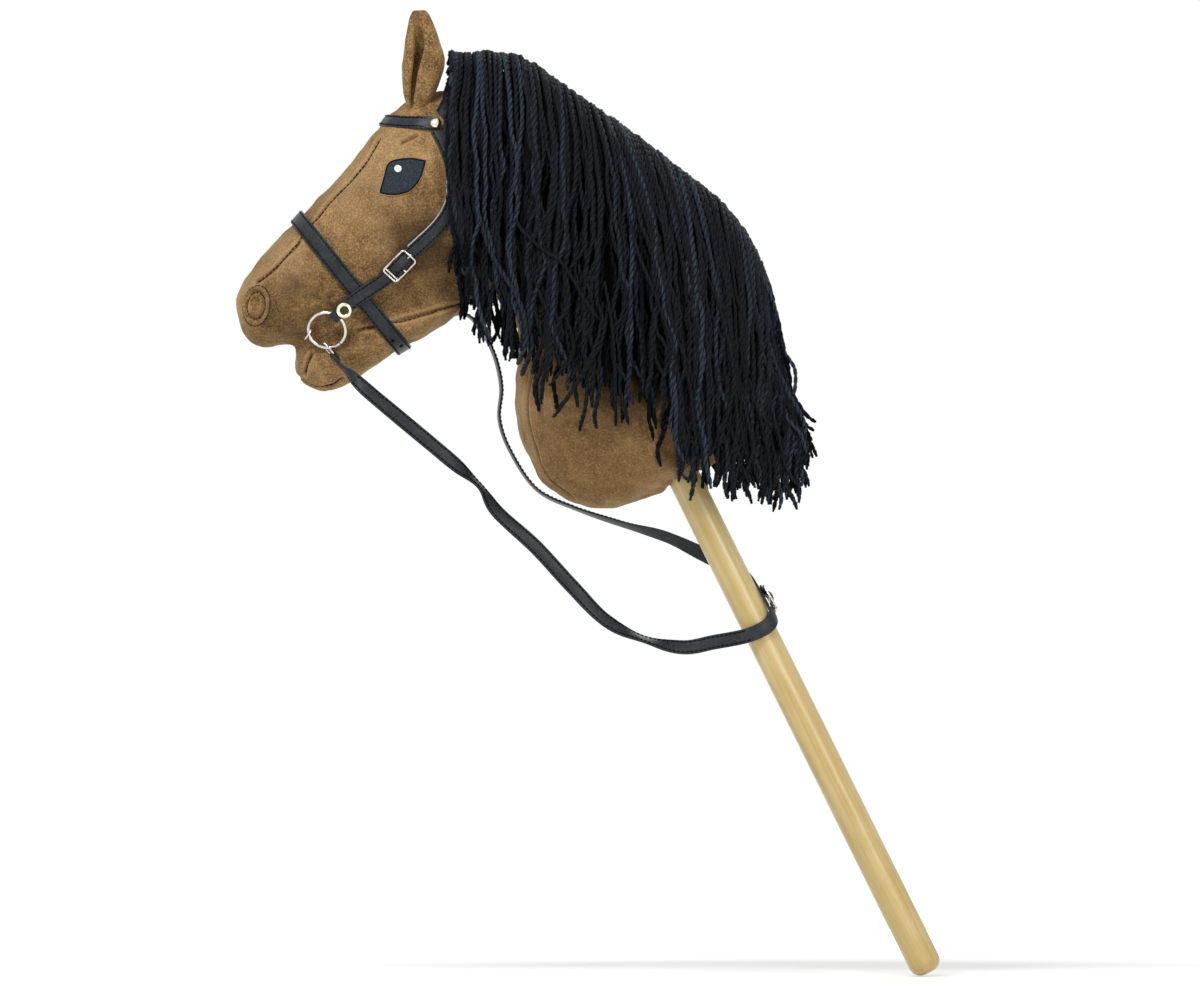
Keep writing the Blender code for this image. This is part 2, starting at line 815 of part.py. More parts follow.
noseband_hits = band_hits(NOSEBAND_TOP, NOSEBAND_BOTTOM, 0.0, 360.0, STRAP_STEP)[:-1]
noseband_frames = frames_from(noseband_hits, closed=True)
noseband_middles = [point + normal * SEAT for point, tangent, normal in noseband_frames]
noseband_sections = [
    (middle, normal, normal.cross(tangent).normalized())
    for middle, (point, tangent, normal) in zip(noseband_middles, noseband_frames)
]
noseband_sections = resting(noseband_sections, NOSEBAND_WIDTH, True)
ribbon("noseband", noseband_sections, NOSEBAND_WIDTH, STRAP_THICKNESS, closed=True)

throat_hits = band_hits(THROAT_TOP, THROAT_BOTTOM, 0.0, 360.0, STRAP_STEP)[:-1]
throat_sections = [
    (point + normal * SEAT, normal, normal.cross(tangent).normalized())
    for point, tangent, normal in frames_from(throat_hits, closed=True)
]
throat_sections = resting(throat_sections, THROATLATCH_WIDTH, True)
ribbon("throatlatch", throat_sections, THROATLATCH_WIDTH, STRAP_THICKNESS, closed=True)

stud_at = Vector((BROWBAND_STUD[0], 0.0, BROWBAND_STUD[1]))


def open_band(first, beyond):
    """The hits of a band over the head, from beyond the near stud to beyond the far one."""
    towards = (Vector((first[0], 0.0, first[1])) - stud_at).normalized()
    hits = band_hits(first, BROWBAND_STUD, -150.0, 150.0, STRAP_STEP)
    return [found for found in hits if (found[0] - stud_at).dot(towards) > beyond]


crown_frames = frames_from(open_band(CROWN_TOP, STUD_BUTT))
ribbon("crown_strap", resting(sections_over(crown_frames), CROWN_WIDTH), CROWN_WIDTH, STRAP_THICKNESS)

brow_frames = frames_from(open_band(BROWBAND_FRONT, -BROWBAND_OVERHANG))


def brow_lift(k):
    behind = min(k, len(brow_frames) - 1 - k) * STRAP_STEP
    return OVER_STRAP * (1.0 - across(behind, 0.013, 0.022))


ribbon("browband", sections_over(brow_frames, brow_lift), BROWBAND_WIDTH, STRAP_THICKNESS)


def cap(name, diameter, height, dish, place, finish):
    """A domed or dished round head that sits on the place's XY plane."""
    radius = diameter / 2.0
    profile = [
        (0.0, height - dish),
        (radius * 0.42, height - dish),
        (radius * 0.58, height - dish * 0.15),
        (radius * 0.80, height),
        (radius * 0.95, height * 0.72),
        (radius, height * 0.35),
        (radius * 0.96, 0.0),
        (0.0, 0.0),
    ]
    made = turned(name, profile, 14, finish)
    made.matrix_world = place
    return made


brow_sections = sections_over(brow_frames, brow_lift)
brow_ahead = (Vector((BROWBAND_FRONT[0], 0.0, BROWBAND_FRONT[1])) - stud_at).normalized()
for word, side in SIDES:
    middle, normal, aside = min(
        (section for section in brow_sections if section[0].y * side > 0.0),
        key=lambda section: abs((section[0] - stud_at).dot(brow_ahead)),
    )
    place = frame_at(middle + normal * (STRAP_THICKNESS + GAP), aside.cross(normal), normal)
    cap(f"browband_stud_{word}", STUD_DIAMETER, STUD_HEIGHT, -0.0006, place, BRASS)


# Buckles


def buckle(name, place, strap_width, length, strap_top):
    """A wire buckle on the place's XY plane, with the strap along X. It returns the prong's bar."""
    width = strap_width + 2.0 * (BUCKLE_SIDE_PLAY + BUCKLE_WIRE)
    height = strap_top + GAP + BUCKLE_WIRE / 2.0
    flat = rounded_rectangle(length - BUCKLE_WIRE, width - BUCKLE_WIRE, BUCKLE_CORNER)
    axis = Vector((0.0, 0.0, 1.0))
    shape = wire_through([Vector((x, y, height)) for x, y in flat], axis, BUCKLE_WIRE, closed=True)
    made = add_object(name, mesh_from(name, shape), NICKEL)
    made.matrix_world = place
    reach = width / 2.0 - BUCKLE_WIRE / 2.0
    for bar, x in (("middle", 0.0), ("twin", length / 2.0 - BUCKLE_WIRE / 2.0 - BUCKLE_TWIN_SPACING)):
        ends = [Vector((x, -reach, height)), Vector((x, reach, height))]
        shape = wire_through(ends, axis, BUCKLE_WIRE * 0.94, closed=False)
        guide = add_object(f"{name}_{bar}", mesh_from(f"{name}_{bar}", shape), None, GUIDES)
        guide.matrix_world = place
        cut(made, guide, "UNION")
    return Vector((-(length - BUCKLE_WIRE) / 2.0, 0.0, height))


def prong(name, place, bar, strap_top, straps):
    """A wire prong that hooks round the bar and lies in a slot of the strap."""
    radius = BUCKLE_WIRE / 2.0 + WIRE_PLAY + PRONG_WIRE / 2.0
    turns = [math.radians(-45.0 - 225.0 * k / 10) for k in range(11)]
    points = [bar + Vector((radius * math.cos(turn), 0.0, radius * math.sin(turn))) for turn in turns]
    tip = bar + Vector((PRONG_LENGTH, 0.0, 0.0))
    tip.z = strap_top - STRAP_THICKNESS * 0.5
    last = points[-1]
    points.append(last.lerp(tip, 0.35) + Vector((0.0, 0.0, 0.0006)))
    points.append(last.lerp(tip, 0.7) + Vector((0.0, 0.0, 0.0003)))
    points.append(tip)
    shape = wire_through(points, Vector((0.0, 1.0, 0.0)), PRONG_WIRE, closed=False)
    made = add_object(name, mesh_from(name, shape), NICKEL)
    made.data.transform(place)
    seat_origin(made, place @ bar)
    eye = radius + PRONG_WIRE / 2.0 + SLOT_PLAY
    low, high = -eye, PRONG_LENGTH + PRONG_WIRE
    room = bmesh.new()
    size = (high - low, PRONG_WIRE + 2.0 * SLOT_PLAY, 0.012)
    at = Matrix.Translation(bar + Vector(((low + high) / 2.0, 0.0, 0.0)))
    bmesh.ops.create_cube(room, size=1.0, matrix=place @ at @ Matrix.Diagonal((*size, 1.0)))
    guide = add_object(f"{name}_slot", mesh_from(f"{name}_slot", room), None, GUIDES)
    for strap in straps:
        cut(strap, guide)
    return made


# Cheek straps, with the loop that holds the bit ring


def nearest_index(frames, point):
    return min(
        range(len(frames)),
        key=lambda k: math.hypot(frames[k][0].x - point[0], frames[k][0].z - point[1]),
    )


def lengths_along(points):
    total = [0.0]
    for start, end in zip(points, points[1:]):
        total.append(total[-1] + (end - start).length)
    return total


LOOP_RADIUS = RING_WIRE / 2.0 + LOOP_PLAY
LOOP_WIRE_HEIGHT = GAP + STRAP_THICKNESS + LOOP_RADIUS


def cheek_strap(word, side):
    route = smooth_curve([(x, 0.0, z) for x, z in CHEEK_ROUTE], CHEEK_STEP)
    frames = frames_from([from_side(STRAP_TREES, point.x, point.z, side) for point in route])
    run = lengths_along([frame[0] for frame in frames])
    at_buckle = nearest_index(frames, BUCKLE_CENTRE)
    at_noseband = nearest_index(frames, NOSEBAND_CROSSING)
    at_rivet = nearest_index(frames, RIVET_CENTRE)
    place = frame_at(*frames[at_buckle])
    loop_lift = LOOP_WIRE_HEIGHT + LOOP_RADIUS - SEAT

    middles = []
    asides = []
    for k, (point, tangent, normal) in enumerate(frames):
        from_buckle = run[k] - run[at_buckle]
        from_noseband = run[k] - run[at_noseband]
        lift = OVER_STRAP * across(from_noseband, -0.0125, -0.0070)
        lift += (loop_lift - OVER_STRAP) * across(from_noseband, -0.002, run[-1] - run[at_noseband])
        middle = point + normal * (SEAT + lift)
        aside = normal.cross(tangent).normalized()
        flat = 1.0 - across(abs(from_buckle), BUCKLE_LENGTH / 2.0, BUCKLE_LENGTH / 2.0 + 0.005)
        hump = BUCKLE_WIRE + 2.0 * GAP + STRAP_THICKNESS
        hump *= 1.0 - across(abs(from_buckle), 0.0014, HUMP_HALF_LENGTH)
        on_plane = place @ Vector((from_buckle, 0.0, SEAT + hump))
        middles.append(middle.lerp(on_plane, flat))
        asides.append(aside.lerp(place.to_3x3() @ Vector((0.0, 1.0, 0.0)), flat).normalized())

    last = squared(middles, asides)
    end_middle, end_normal, end_aside = last[-1]
    tangent = end_aside.cross(end_normal)
    wire_point = end_middle - end_normal * LOOP_RADIUS
    narrowing = CHEEK_WIDTH - LOOP_WIDTH
    widths = [CHEEK_WIDTH - narrowing * across(here - run[at_rivet], 0.002, 0.0095) for here in run]
    sections = list(last)
    for step in range(9):
        turn = math.pi * step / 8
        radial = end_normal * math.cos(turn) + tangent * math.sin(turn)
        sections.append((wire_point + tangent * LOOP_SLACK + radial * LOOP_RADIUS, radial, end_aside))
        widths.append(LOOP_WIDTH)
    for k in range(len(frames) - 2, at_rivet - 2, -1):
        point, along, normal = frames[k]
        if (point - frames[-1][0]).length < 0.002:
            continue
        middle = point + normal * (GAP + STRAP_THICKNESS)
        sections.append((middle, -normal, normal.cross(along).normalized()))
        widths.append(LOOP_WIDTH)
    name = f"cheek_strap_{word}"
    made = add_object(name, ribbon_mesh(name, sections, widths, STRAP_THICKNESS), STRAP)

    strap_top = SEAT + STRAP_THICKNESS
    bar = buckle(f"cheek_buckle_{word}", place, CHEEK_WIDTH, BUCKLE_LENGTH, strap_top)
    prong(f"cheek_prong_{word}", place, bar, strap_top, [made])
    middle, normal, aside = last[at_rivet]
    seat = frame_at(middle + normal * (STRAP_THICKNESS + GAP), aside.cross(normal), normal)
    cap(f"cheek_rivet_{word}", RIVET_DIAMETER, RIVET_HEIGHT, 0.0014, seat, BRASS)
    return wire_point, tangent, end_normal, end_aside


# Bit rings, the mouthpiece, and the rein links


def ring_points(centre, first, second, start, end, count):
    points = []
    for k in range(count + 1):
        turn = start + (end - start) * k / count
        points.append(centre + (first * math.cos(turn) + second * math.sin(turn)) * RING_DIAMETER / 2.0)
    return points


def toward(direction, axis):
    return (direction - axis * direction.dot(axis)).normalized()


def bit_ring(word, side, wire_point, tangent, normal, aside):
    """The ring hangs from the loop, turned in as far as the cheek lets it."""
    need = RING_WIRE / 2.0 + RING_JAW_CLEARANCE
    best = None
    for degree in range(60, -40, -1):
        tilt = math.radians(degree)
        down = tangent * math.cos(tilt) - normal * math.sin(tilt)
        centre = wire_point + down * RING_DIAMETER / 2.0
        points = ring_points(centre, down, aside, 0.0, 2.0 * math.pi, 32)
        away = [point for point in points if (point - wire_point).length > RING_DIAMETER * 0.3]
        best = (centre, down)
        outside = min(point.y * side for point in away) > 0.02
        if outside and min(clearance_to_forms(point) for point in away) >= need:
            break
    centre, down = best
    axis = down.cross(aside).normalized()
    axis *= 1.0 if axis.y * side > 0.0 else -1.0
    second = axis.cross(down)
    butt = toward(Vector((math.cos(RING_BUTT_SEAT), 0.0, math.sin(RING_BUTT_SEAT))), axis)
    start = math.atan2(butt.dot(second), butt.dot(down))
    opening = RING_BUTT_GAP / RING_DIAMETER
    points = ring_points(centre, down, second, start + opening, start + 2.0 * math.pi - opening, 30)
    name = f"bit_ring_{word}"
    shape = wire_through(points, axis, RING_WIRE, closed=False, sides=8)
    made = add_object(name, mesh_from(name, shape), NICKEL)
    seat_origin(made, centre)
    return centre, axis


def on_ring(centre, axis, turn):
    return centre + toward(Vector((math.cos(turn), 0.0, math.sin(turn))), axis) * RING_DIAMETER / 2.0


def rein_link(word, side, centre, axis):
    """A wire link through the ring, and the folded end of the rein on it. Returns the rein's start."""
    held = on_ring(centre, axis, LINK_SEATS[word])
    turn = LINK_TURNS[word]
    along = Vector((math.cos(turn), side * LINK_OUTWARD, math.sin(turn))).normalized()
    out = toward(Vector((0.0, side, 0.0)), along)
    flat = along.cross(out)
    across_link = out * math.cos(LINK_ROLL) + flat * math.sin(LINK_ROLL) * side
    face = along.cross(across_link).normalized()
    middle = held + along * (LINK_LENGTH / 2.0 - LINK_ON_RING) + across_link * 0.0004
    outline = rounded_rectangle(LINK_LENGTH, LINK_WIDTH, LINK_CORNER)
    points = [middle + along * x + across_link * y for x, y in outline]
    name = f"rein_link_{word}"
    add_object(name, mesh_from(name, wire_through(points, face, LINK_WIRE, closed=True)), NICKEL)

    bar = middle + along * LINK_LENGTH / 2.0
    wrap = LINK_WIRE / 2.0 + GAP
    facing = -face if face.y * side < 0.0 else face
    aside = facing.cross(along)
    sections = []
    widths = []
    for away in (REIN_END_LENGTH, 0.0055, 0.003, 0.0015, 0.0):
        rise = wrap - (wrap - GAP) * across(away, 0.0, 0.0045)
        sections.append((bar + along * away + facing * rise, facing, aside))
        wide = across(away, 0.003, REIN_END_LENGTH)
        widths.append(REIN_END_NARROW + (REIN_END_WIDE - REIN_END_NARROW) * wide)
    for step in range(1, 8):
        turn = math.pi * step / 8
        radial = facing * math.cos(turn) - along * math.sin(turn)
        sections.append((bar + radial * wrap, radial, aside))
        widths.append(REIN_END_NARROW)
    for away in (0.0, 0.0015, 0.003, 0.0045, 0.0065):
        rise = wrap - (wrap - GAP) * across(away, 0.0, 0.0045)
        sections.append((bar + along * away - facing * rise, -facing, aside))
        widths.append(REIN_END_NARROW)
    name = f"rein_end_{word}"
    add_object(name, ribbon_mesh(name, sections, widths, REIN_THICKNESS), STRAP)
    begin = bar + along * (REIN_END_LENGTH + GAP) + facing * (GAP + REIN_THICKNESS / 2.0)
    return begin, along, facing


rein_starts = {}
eyes = {}
for word, side in SIDES:
    wire_point, tangent, normal, aside = cheek_strap(word, side)
    centre, axis = bit_ring(word, side, wire_point, tangent, normal, aside)
    rein_starts[word] = rein_link(word, side, centre, axis)
    eyes[word] = on_ring(centre, axis, BIT_SEAT) - Vector((0.0, side * BIT_EYE_INSET, 0.0))


def bit_bar(name, at, half_length, radius, home, finish):
    ends = [at + Vector((0.0, -half_length, 0.0)), at + Vector((0.0, half_length, 0.0))]
    shape = wire_through(ends, Vector((1.0, 0.0, 0.0)), 2.0 * radius, closed=False, sides=12)
    return add_object(name, mesh_from(name, shape), finish, home)


eye_radius = BIT_EYE_DIAMETER / 2.0
bit_middle = Vector((eyes["near"].x, 0.0, eyes["near"].z))
bar_half = abs(eyes["near"].y) - eye_radius
mouthpiece = bit_bar("bit_mouthpiece", bit_middle, bar_half, BIT_BAR_DIAMETER / 2.0, PARTS, NICKEL)
lean = Vector((math.cos(BIT_EYE_LEAN), 0.0, math.sin(BIT_EYE_LEAN)))
sideways = Vector((0.0, 1.0, 0.0))
for word, side in SIDES:
    points = []
    for k in range(14):
        turn = 2.0 * math.pi * (k + 0.5) / 14
        points.append(eyes[word] + (lean * math.cos(turn) + sideways * math.sin(turn)) * eye_radius)
    shape = wire_through(points, lean.cross(sideways), BIT_EYE_WIRE, closed=True)
    eye_guide = add_object(f"bit_eye_{word}", mesh_from(f"bit_eye_{word}", shape), None, GUIDES)
    cut(mouthpiece, eye_guide, "UNION")

channel = bit_bar("bit_channel", bit_middle, bar_half + 0.05, BIT_BAR_DIAMETER / 2.0 + BIT_ROOM, GUIDES, None)
pocket_radius = eye_radius + BIT_EYE_WIRE / 2.0 + BIT_ROOM
for word, side in SIDES:
    inner = abs(eyes[word].y) - pocket_radius
    at = bit_middle + Vector((0.0, side * (inner + 0.03), 0.0))
    pocket = bit_bar(f"bit_pocket_{word}", at, 0.03, pocket_radius, GUIDES, None)
    cut(head, pocket)
    cut(jaw, pocket)
cut(head, channel)
cut(jaw, channel)


# Reins


def from_stick(degrees, height, radius):
    """A point beside the stick, and the direction out from its axis."""
    turn = math.radians(degrees)
    out = STICK_ACROSS * math.cos(turn) + Vector((0.0, 1.0, 0.0)) * math.sin(turn)
    return -STICK_AXIS * height + out * radius, out


buckle_foot, buckle_out = from_stick(REIN_BUCKLE_TURN, REIN_BUCKLE_HEIGHT, STICK_DIAMETER / 2.0 + SEAT)
up_stick = -STICK_AXIS
buckle_along = up_stick * math.cos(REIN_BUCKLE_SLANT)
buckle_along -= buckle_out.cross(up_stick) * math.sin(REIN_BUCKLE_SLANT)
rein_place = frame_at(buckle_foot, buckle_along, buckle_out)


def free_keys(route, side):
    points = [Vector(key[:3]) for key in route]
    keys = []
    for k, key in enumerate(route):
        along = (points[min(k + 1, len(points) - 1)] - points[max(k - 1, 0)]).normalized()
        level = toward(Vector((0.0, side, 0.0)), along)
        roll = math.radians(key[3])
        keys.append((points[k], level * math.cos(roll) + along.cross(level) * math.sin(roll) * side))
    return keys


def rein(word, side, route, wrap, level, order):
    begin, along, facing = rein_starts[word]
    keys = [(begin, facing), (begin + along * 0.004, facing)]
    keys += free_keys(route, side)
    keys += [from_stick(*key) for key in wrap]
    for x, rise in order:
        keys.append((rein_place @ Vector((x, 0.0, level + rise + REIN_THICKNESS / 2.0)), buckle_out))
    points = [key[0] for key in keys]
    padded = [points[0] * 2.0 - points[1], *points, points[-1] * 2.0 - points[-2]]
    middles = []
    normals = []
    wrapped = len(keys) - len(order) - len(wrap) - 1
    for k in range(len(points) - 1):
        before, start, end, after = padded[k : k + 4]
        step = REIN_FINE_STEP if k >= wrapped or k < 2 else REIN_STEP
        count = max(1, round((end - start).length / step))
        for part in range(count):
            t = part / count
            if k >= len(keys) - len(order):
                middles.append(start.lerp(end, t))
            else:
                middles.append(catmull(before, start, end, after, t))
            normals.append(keys[k][1].lerp(keys[k + 1][1], t))
    middles.append(points[-1])
    normals.append(keys[-1][1])
    sections = []
    for k, (middle, normal) in enumerate(zip(middles, normals)):
        tangent = (middles[min(k + 1, len(middles) - 1)] - middles[max(k - 1, 0)]).normalized()
        normal = toward(normal, tangent)
        sections.append((middle - normal * REIN_THICKNESS / 2.0, normal, normal.cross(tangent)))
    name = f"rein_{word}"
    growing = REIN_WIDTH - REIN_END_WIDE
    widths = [REIN_END_WIDE + growing * across(here, 0.004, 0.035) for here in lengths_along(middles)]
    return add_object(name, ribbon_mesh(name, sections, widths, REIN_THICKNESS), STRAP)


low, high = REIN_OVERLAP
near_level = REIN_THICKNESS + 2.0 * GAP
rein_hump = BUCKLE_WIRE + 2.0 * GAP + REIN_THICKNESS
near_order = [low + (high - low) * k / 12 for k in range(13)]
near_order = [(x, rein_hump * (1.0 - across(abs(x), 0.0014, HUMP_HALF_LENGTH))) for x in near_order]
far_order = [(high, 0.0), (0.0, 0.0), (REIN_FAR_TIP, 0.0)]
far_rein = rein("far", FAR, REIN_FAR_ROUTE, REIN_FAR_WRAP, 0.0, far_order)
near_rein = rein("near", NEAR, REIN_NEAR_ROUTE, REIN_NEAR_WRAP, near_level, near_order)
rein_top = near_level + REIN_THICKNESS
rein_bar = buckle("rein_buckle", rein_place, REIN_WIDTH, REIN_BUCKLE_LENGTH, rein_top)
prong("rein_prong", rein_place, rein_bar, rein_top, [near_rein])


# Mane: one solid of the yarn's outer shape on each side, parted on the crest


def along_points(points, share):
    """The point at this share of the list, straight between its neighbours."""
    at = share * (len(points) - 1)
    k = min(int(at), len(points) - 2)
    first = Vector((points[k][0], 0.0, points[k][1]))
    second = Vector((points[k + 1][0], 0.0, points[k + 1][1]))
    return first.lerp(second, at - k)


def smooth_root(share):
    at = share * (len(MANE_ROOTS) - 1)
    k = min(int(at), len(MANE_ROOTS) - 2)
    around = [MANE_ROOTS[min(max(j, 0), len(MANE_ROOTS) - 1)] for j in range(k - 1, k + 3)]
    return catmull(*(Vector((x, 0.0, z)) for x, z in around), at - k)


def strips(rings):
    """A loft whose ends are closed by quads between the inner and the outer half of each ring."""
    shape = bmesh.new()
    rows = [[shape.verts.new(point) for point in ring] for ring in rings]
    count = len(rows[0])
    for row, following in zip(rows, rows[1:]):
        for k in range(count):
            after = (k + 1) % count
            shape.faces.new((row[k], row[after], following[after], following[k]))
    for row in (rows[0], rows[-1]):
        for k in range(count // 2 - 1):
            shape.faces.new((row[k], row[k + 1], row[-k - 2], row[-k - 1]))
    return shape


def mane(name, side):
    locks = 2 * MANE_LOCKS
    inner = []
    for column in range(locks + 1):
        share = column / locks
        root = smooth_root(share)
        tip = along_points(MANE_TIPS, share)
        if column % 2:
            tip += (root - tip).normalized() * MANE_NOTCH
        before = smooth_root(max(0.0, share - 0.03))
        after = smooth_root(min(1.0, share + 0.03))
        crest = (after - before).normalized()
        up = Vector((-crest.z, 0.0, crest.x))
        found = cast(FORM_TREES, root + up * 0.05, -up)
        root = found[0] if found else root
        line = [root + up * MANE_CLEARANCE + Vector((0.0, side * MANE_PARTING, 0.0))]
        reach = 0.0
        for row in range(1, MANE_ROWS + 1):
            part = (row / MANE_ROWS) ** 1.8
            flat = root.lerp(tip, part)
            flat.x -= MANE_FRONT_BULGE * math.sin(math.pi * part) * max(0.0, 1.0 - share * 6.0)
            found = from_side(STRAP_TREES, flat.x, flat.z, side)
            reach = max(reach - MANE_FALL * reach / 0.05, MANE_PARTING)
            if found:
                point, normal = found
                reach = max(reach, abs(point.y) + MANE_CLEARANCE * (0.35 + 0.65 * abs(normal.y)))
                flat += Vector((normal.x, 0.0, normal.z)) * MANE_CLEARANCE
            else:
                flat += up * MANE_CLEARANCE * (1.0 - part)
            line.append(Vector((flat.x, side * reach, flat.z)))
        inner.append(line)

    outer = []
    for column, line in enumerate(inner):
        ahead = inner[min(column + 1, locks)]
        behind = inner[max(column - 1, 0)]
        row_points = []
        for row, point in enumerate(line):
            down = line[min(row + 1, MANE_ROWS)] - line[max(row - 1, 0)]
            along = ahead[row] - behind[row]
            normal = along.cross(down).normalized() * side
            if normal.y * side < 0.0 or (row == 0 and normal.z < 0.0):
                normal = -normal
            if row == 0:
                normal.y = 0.0
                normal.normalize()
            share = row / MANE_ROWS
            thickness = MANE_POLL_THICKNESS
            thickness += (MANE_CREST_THICKNESS - MANE_POLL_THICKNESS) * across(column / locks, 0.0, 0.35)
            thickness += (MANE_TIP_THICKNESS - thickness) * share**2
            over_crest = 1.0 - across(share, 0.0, 0.4)
            shoulder = across(column / locks, 0.5, 0.7) * (1.0 - across(column / locks, 0.84, 0.96))
            thickness += MANE_POLL_LIFT * over_crest * (1.0 - across(column / locks, 0.08, 0.24))
            thickness += MANE_SHOULDER_LIFT * over_crest * shoulder
            thickness += MANE_RIDGE * (1.0 if column % 2 == 0 else -1.0) * across(share, 0.0, 0.4)
            moved = point + normal * thickness
            if abs(moved.y) < MANE_PARTING or moved.y * side < 0.0:
                moved.y = side * MANE_PARTING
            row_points.append(moved)
        outer.append(row_points)

    rings = [line + [*reversed(cover)] for line, cover in zip(inner, outer)]
    return add_object(name, mesh_from(name, strips(rings)), YARN)


for word, side in SIDES:
    mane(f"mane_{word}", side)
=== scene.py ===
import json
import math
import random

import bmesh
import bpy
import numpy as np
from mathutils import Matrix, Vector, noise
from mathutils.bvhtree import BVHTree
from mathutils.kdtree import KDTree


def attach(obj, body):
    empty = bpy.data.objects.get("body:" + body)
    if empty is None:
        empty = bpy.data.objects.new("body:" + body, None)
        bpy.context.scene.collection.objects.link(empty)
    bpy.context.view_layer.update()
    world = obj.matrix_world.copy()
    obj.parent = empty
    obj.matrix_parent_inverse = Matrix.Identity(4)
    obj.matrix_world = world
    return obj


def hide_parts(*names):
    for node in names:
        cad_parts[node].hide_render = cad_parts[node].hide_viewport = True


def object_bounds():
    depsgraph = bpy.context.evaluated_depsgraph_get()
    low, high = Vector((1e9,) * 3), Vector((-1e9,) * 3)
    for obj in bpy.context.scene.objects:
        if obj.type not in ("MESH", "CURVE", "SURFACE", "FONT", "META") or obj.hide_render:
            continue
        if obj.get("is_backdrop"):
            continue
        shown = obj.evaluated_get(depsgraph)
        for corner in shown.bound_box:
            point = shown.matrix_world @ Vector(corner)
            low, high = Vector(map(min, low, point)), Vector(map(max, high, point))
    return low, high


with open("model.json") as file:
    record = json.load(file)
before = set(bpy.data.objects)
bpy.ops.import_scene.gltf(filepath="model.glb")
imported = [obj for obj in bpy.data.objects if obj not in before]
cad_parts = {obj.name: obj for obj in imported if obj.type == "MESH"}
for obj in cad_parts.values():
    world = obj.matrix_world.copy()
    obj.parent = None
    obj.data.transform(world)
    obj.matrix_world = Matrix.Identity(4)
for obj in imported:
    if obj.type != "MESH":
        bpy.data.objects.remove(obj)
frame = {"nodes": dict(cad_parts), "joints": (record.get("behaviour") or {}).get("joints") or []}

# Hobby horse: plush head and neck, yarn mane, strap bridle and reins, on a varnished stick.
# Metres, +Z up, the horse looks along -X and its near side is at -Y.
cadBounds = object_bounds()
nodes = frame["nodes"]
joints = {joint["name"]: joint for joint in frame["joints"]}
scene = bpy.context.scene
bothSides = (("near", -1.0), ("far", 1.0))
sideways = Vector((0.0, 1.0, 0.0))
mainBody = "horse"

# camera, floor and light
studio = dict(
    aim=(-0.136, 0.1208), distance=18.0, frameWidth=0.96, sensor=36.0, clipEnd=60.0, worldLevel=0.38,
    floorHeight=-0.2605, floorReach=2.0, floorGlow=(0.24, 0.75), glowSpan=(0.6, 1.5),
    # name, place, what it points at, size and power
    lamps=(
        ("keyLamp", (-1.0, -1.6, 2.1), (-0.15, 0.0, 0.2), 0.8, 38.0),
        ("fillLamp", (1.1, -2.2, 0.75), (0.0, 0.0, 0.05), 0.6, 15.0),
        ("rimLamp", (0.5, 1.8, 1.6), (-0.15, 0.0, 0.3), 1.2, 14.0),
    ),
)


def placed(name, data):
    made = bpy.data.objects.new(name, data)
    scene.collection.objects.link(made)
    return made


camera = placed("camera", bpy.data.cameras.new("camera"))
camera.location = (studio["aim"][0], -studio["distance"], studio["aim"][1])
camera.rotation_euler = (math.radians(90.0), 0.0, 0.0)
camera.data.sensor_width = studio["sensor"]
camera.data.lens = studio["sensor"] * studio["distance"] / studio["frameWidth"]
camera.data.clip_end = studio["clipEnd"]
scene.camera = camera
scene.view_settings.view_transform = "Standard"


def fromHex(text):
    parts = [int(text[k : k + 2], 16) / 255.0 for k in (1, 3, 5)]
    return (*((c / 12.92 if c <= 0.04045 else ((c + 0.055) / 1.055) ** 2.4) for c in parts), 1.0)


def addNode(tree, kind, inputs=None, out=0, stops=(), **attributes):
    # sets or links the node's inputs, gives a ramp its stops, and hands back one output
    node = tree.nodes.new(kind)
    for name, value in attributes.items():
        setattr(node, name, value)
    for key, value in (inputs or {}).items():
        if isinstance(value, bpy.types.NodeSocket):
            tree.links.new(value, node.inputs[key])
        else:
            node.inputs[key].default_value = fromHex(value) if isinstance(value, str) else value
    while stops and len(node.color_ramp.elements) < len(stops):
        node.color_ramp.elements.new(0.5)
    for k, (place, colour) in enumerate(stops):
        node.color_ramp.elements[k].position = place
        node.color_ramp.elements[k].color = fromHex(colour)
    return node.outputs[out] if node.outputs else node


def emptyTree(holder):
    holder.use_nodes = True
    holder.node_tree.nodes.clear()
    return holder.node_tree


def whiteToCamera(tree, output, seen, other):
    # what the camera and the metal see is white, and the rest of the light stays plain
    path = addNode(tree, "ShaderNodeLightPath").node
    seenBy = path.outputs["Is Camera Ray"]
    for ray in ("Is Glossy Ray", "Is Transmission Ray"):
        seenBy = addNode(tree, "ShaderNodeMath", {0: seenBy, 1: path.outputs[ray]}, operation="MAXIMUM")
    addNode(tree, output, {"Surface": addNode(tree, "ShaderNodeMixShader", {0: seenBy, 1: other, 2: seen})})


scene.world = bpy.data.worlds.new("studio")
tree = emptyTree(scene.world)
seenWhite = addNode(tree, "ShaderNodeBackground", {"Color": "#ffffff", "Strength": 1.0})
plainWhite = addNode(tree, "ShaderNodeBackground", {"Color": "#ffffff", "Strength": studio["worldLevel"]})
whiteToCamera(tree, "ShaderNodeOutputWorld", seenWhite, plainWhite)

for name, place, target, size, power in studio["lamps"]:
    lamp = bpy.data.lights.new(name, "AREA")
    lamp.shape = "DISK"
    lamp.size = size
    lamp.energy = power
    holder = placed(name, lamp)
    holder.location = place
    holder.rotation_euler = (Vector(target) - Vector(place)).to_track_quat("-Z", "Y").to_euler()

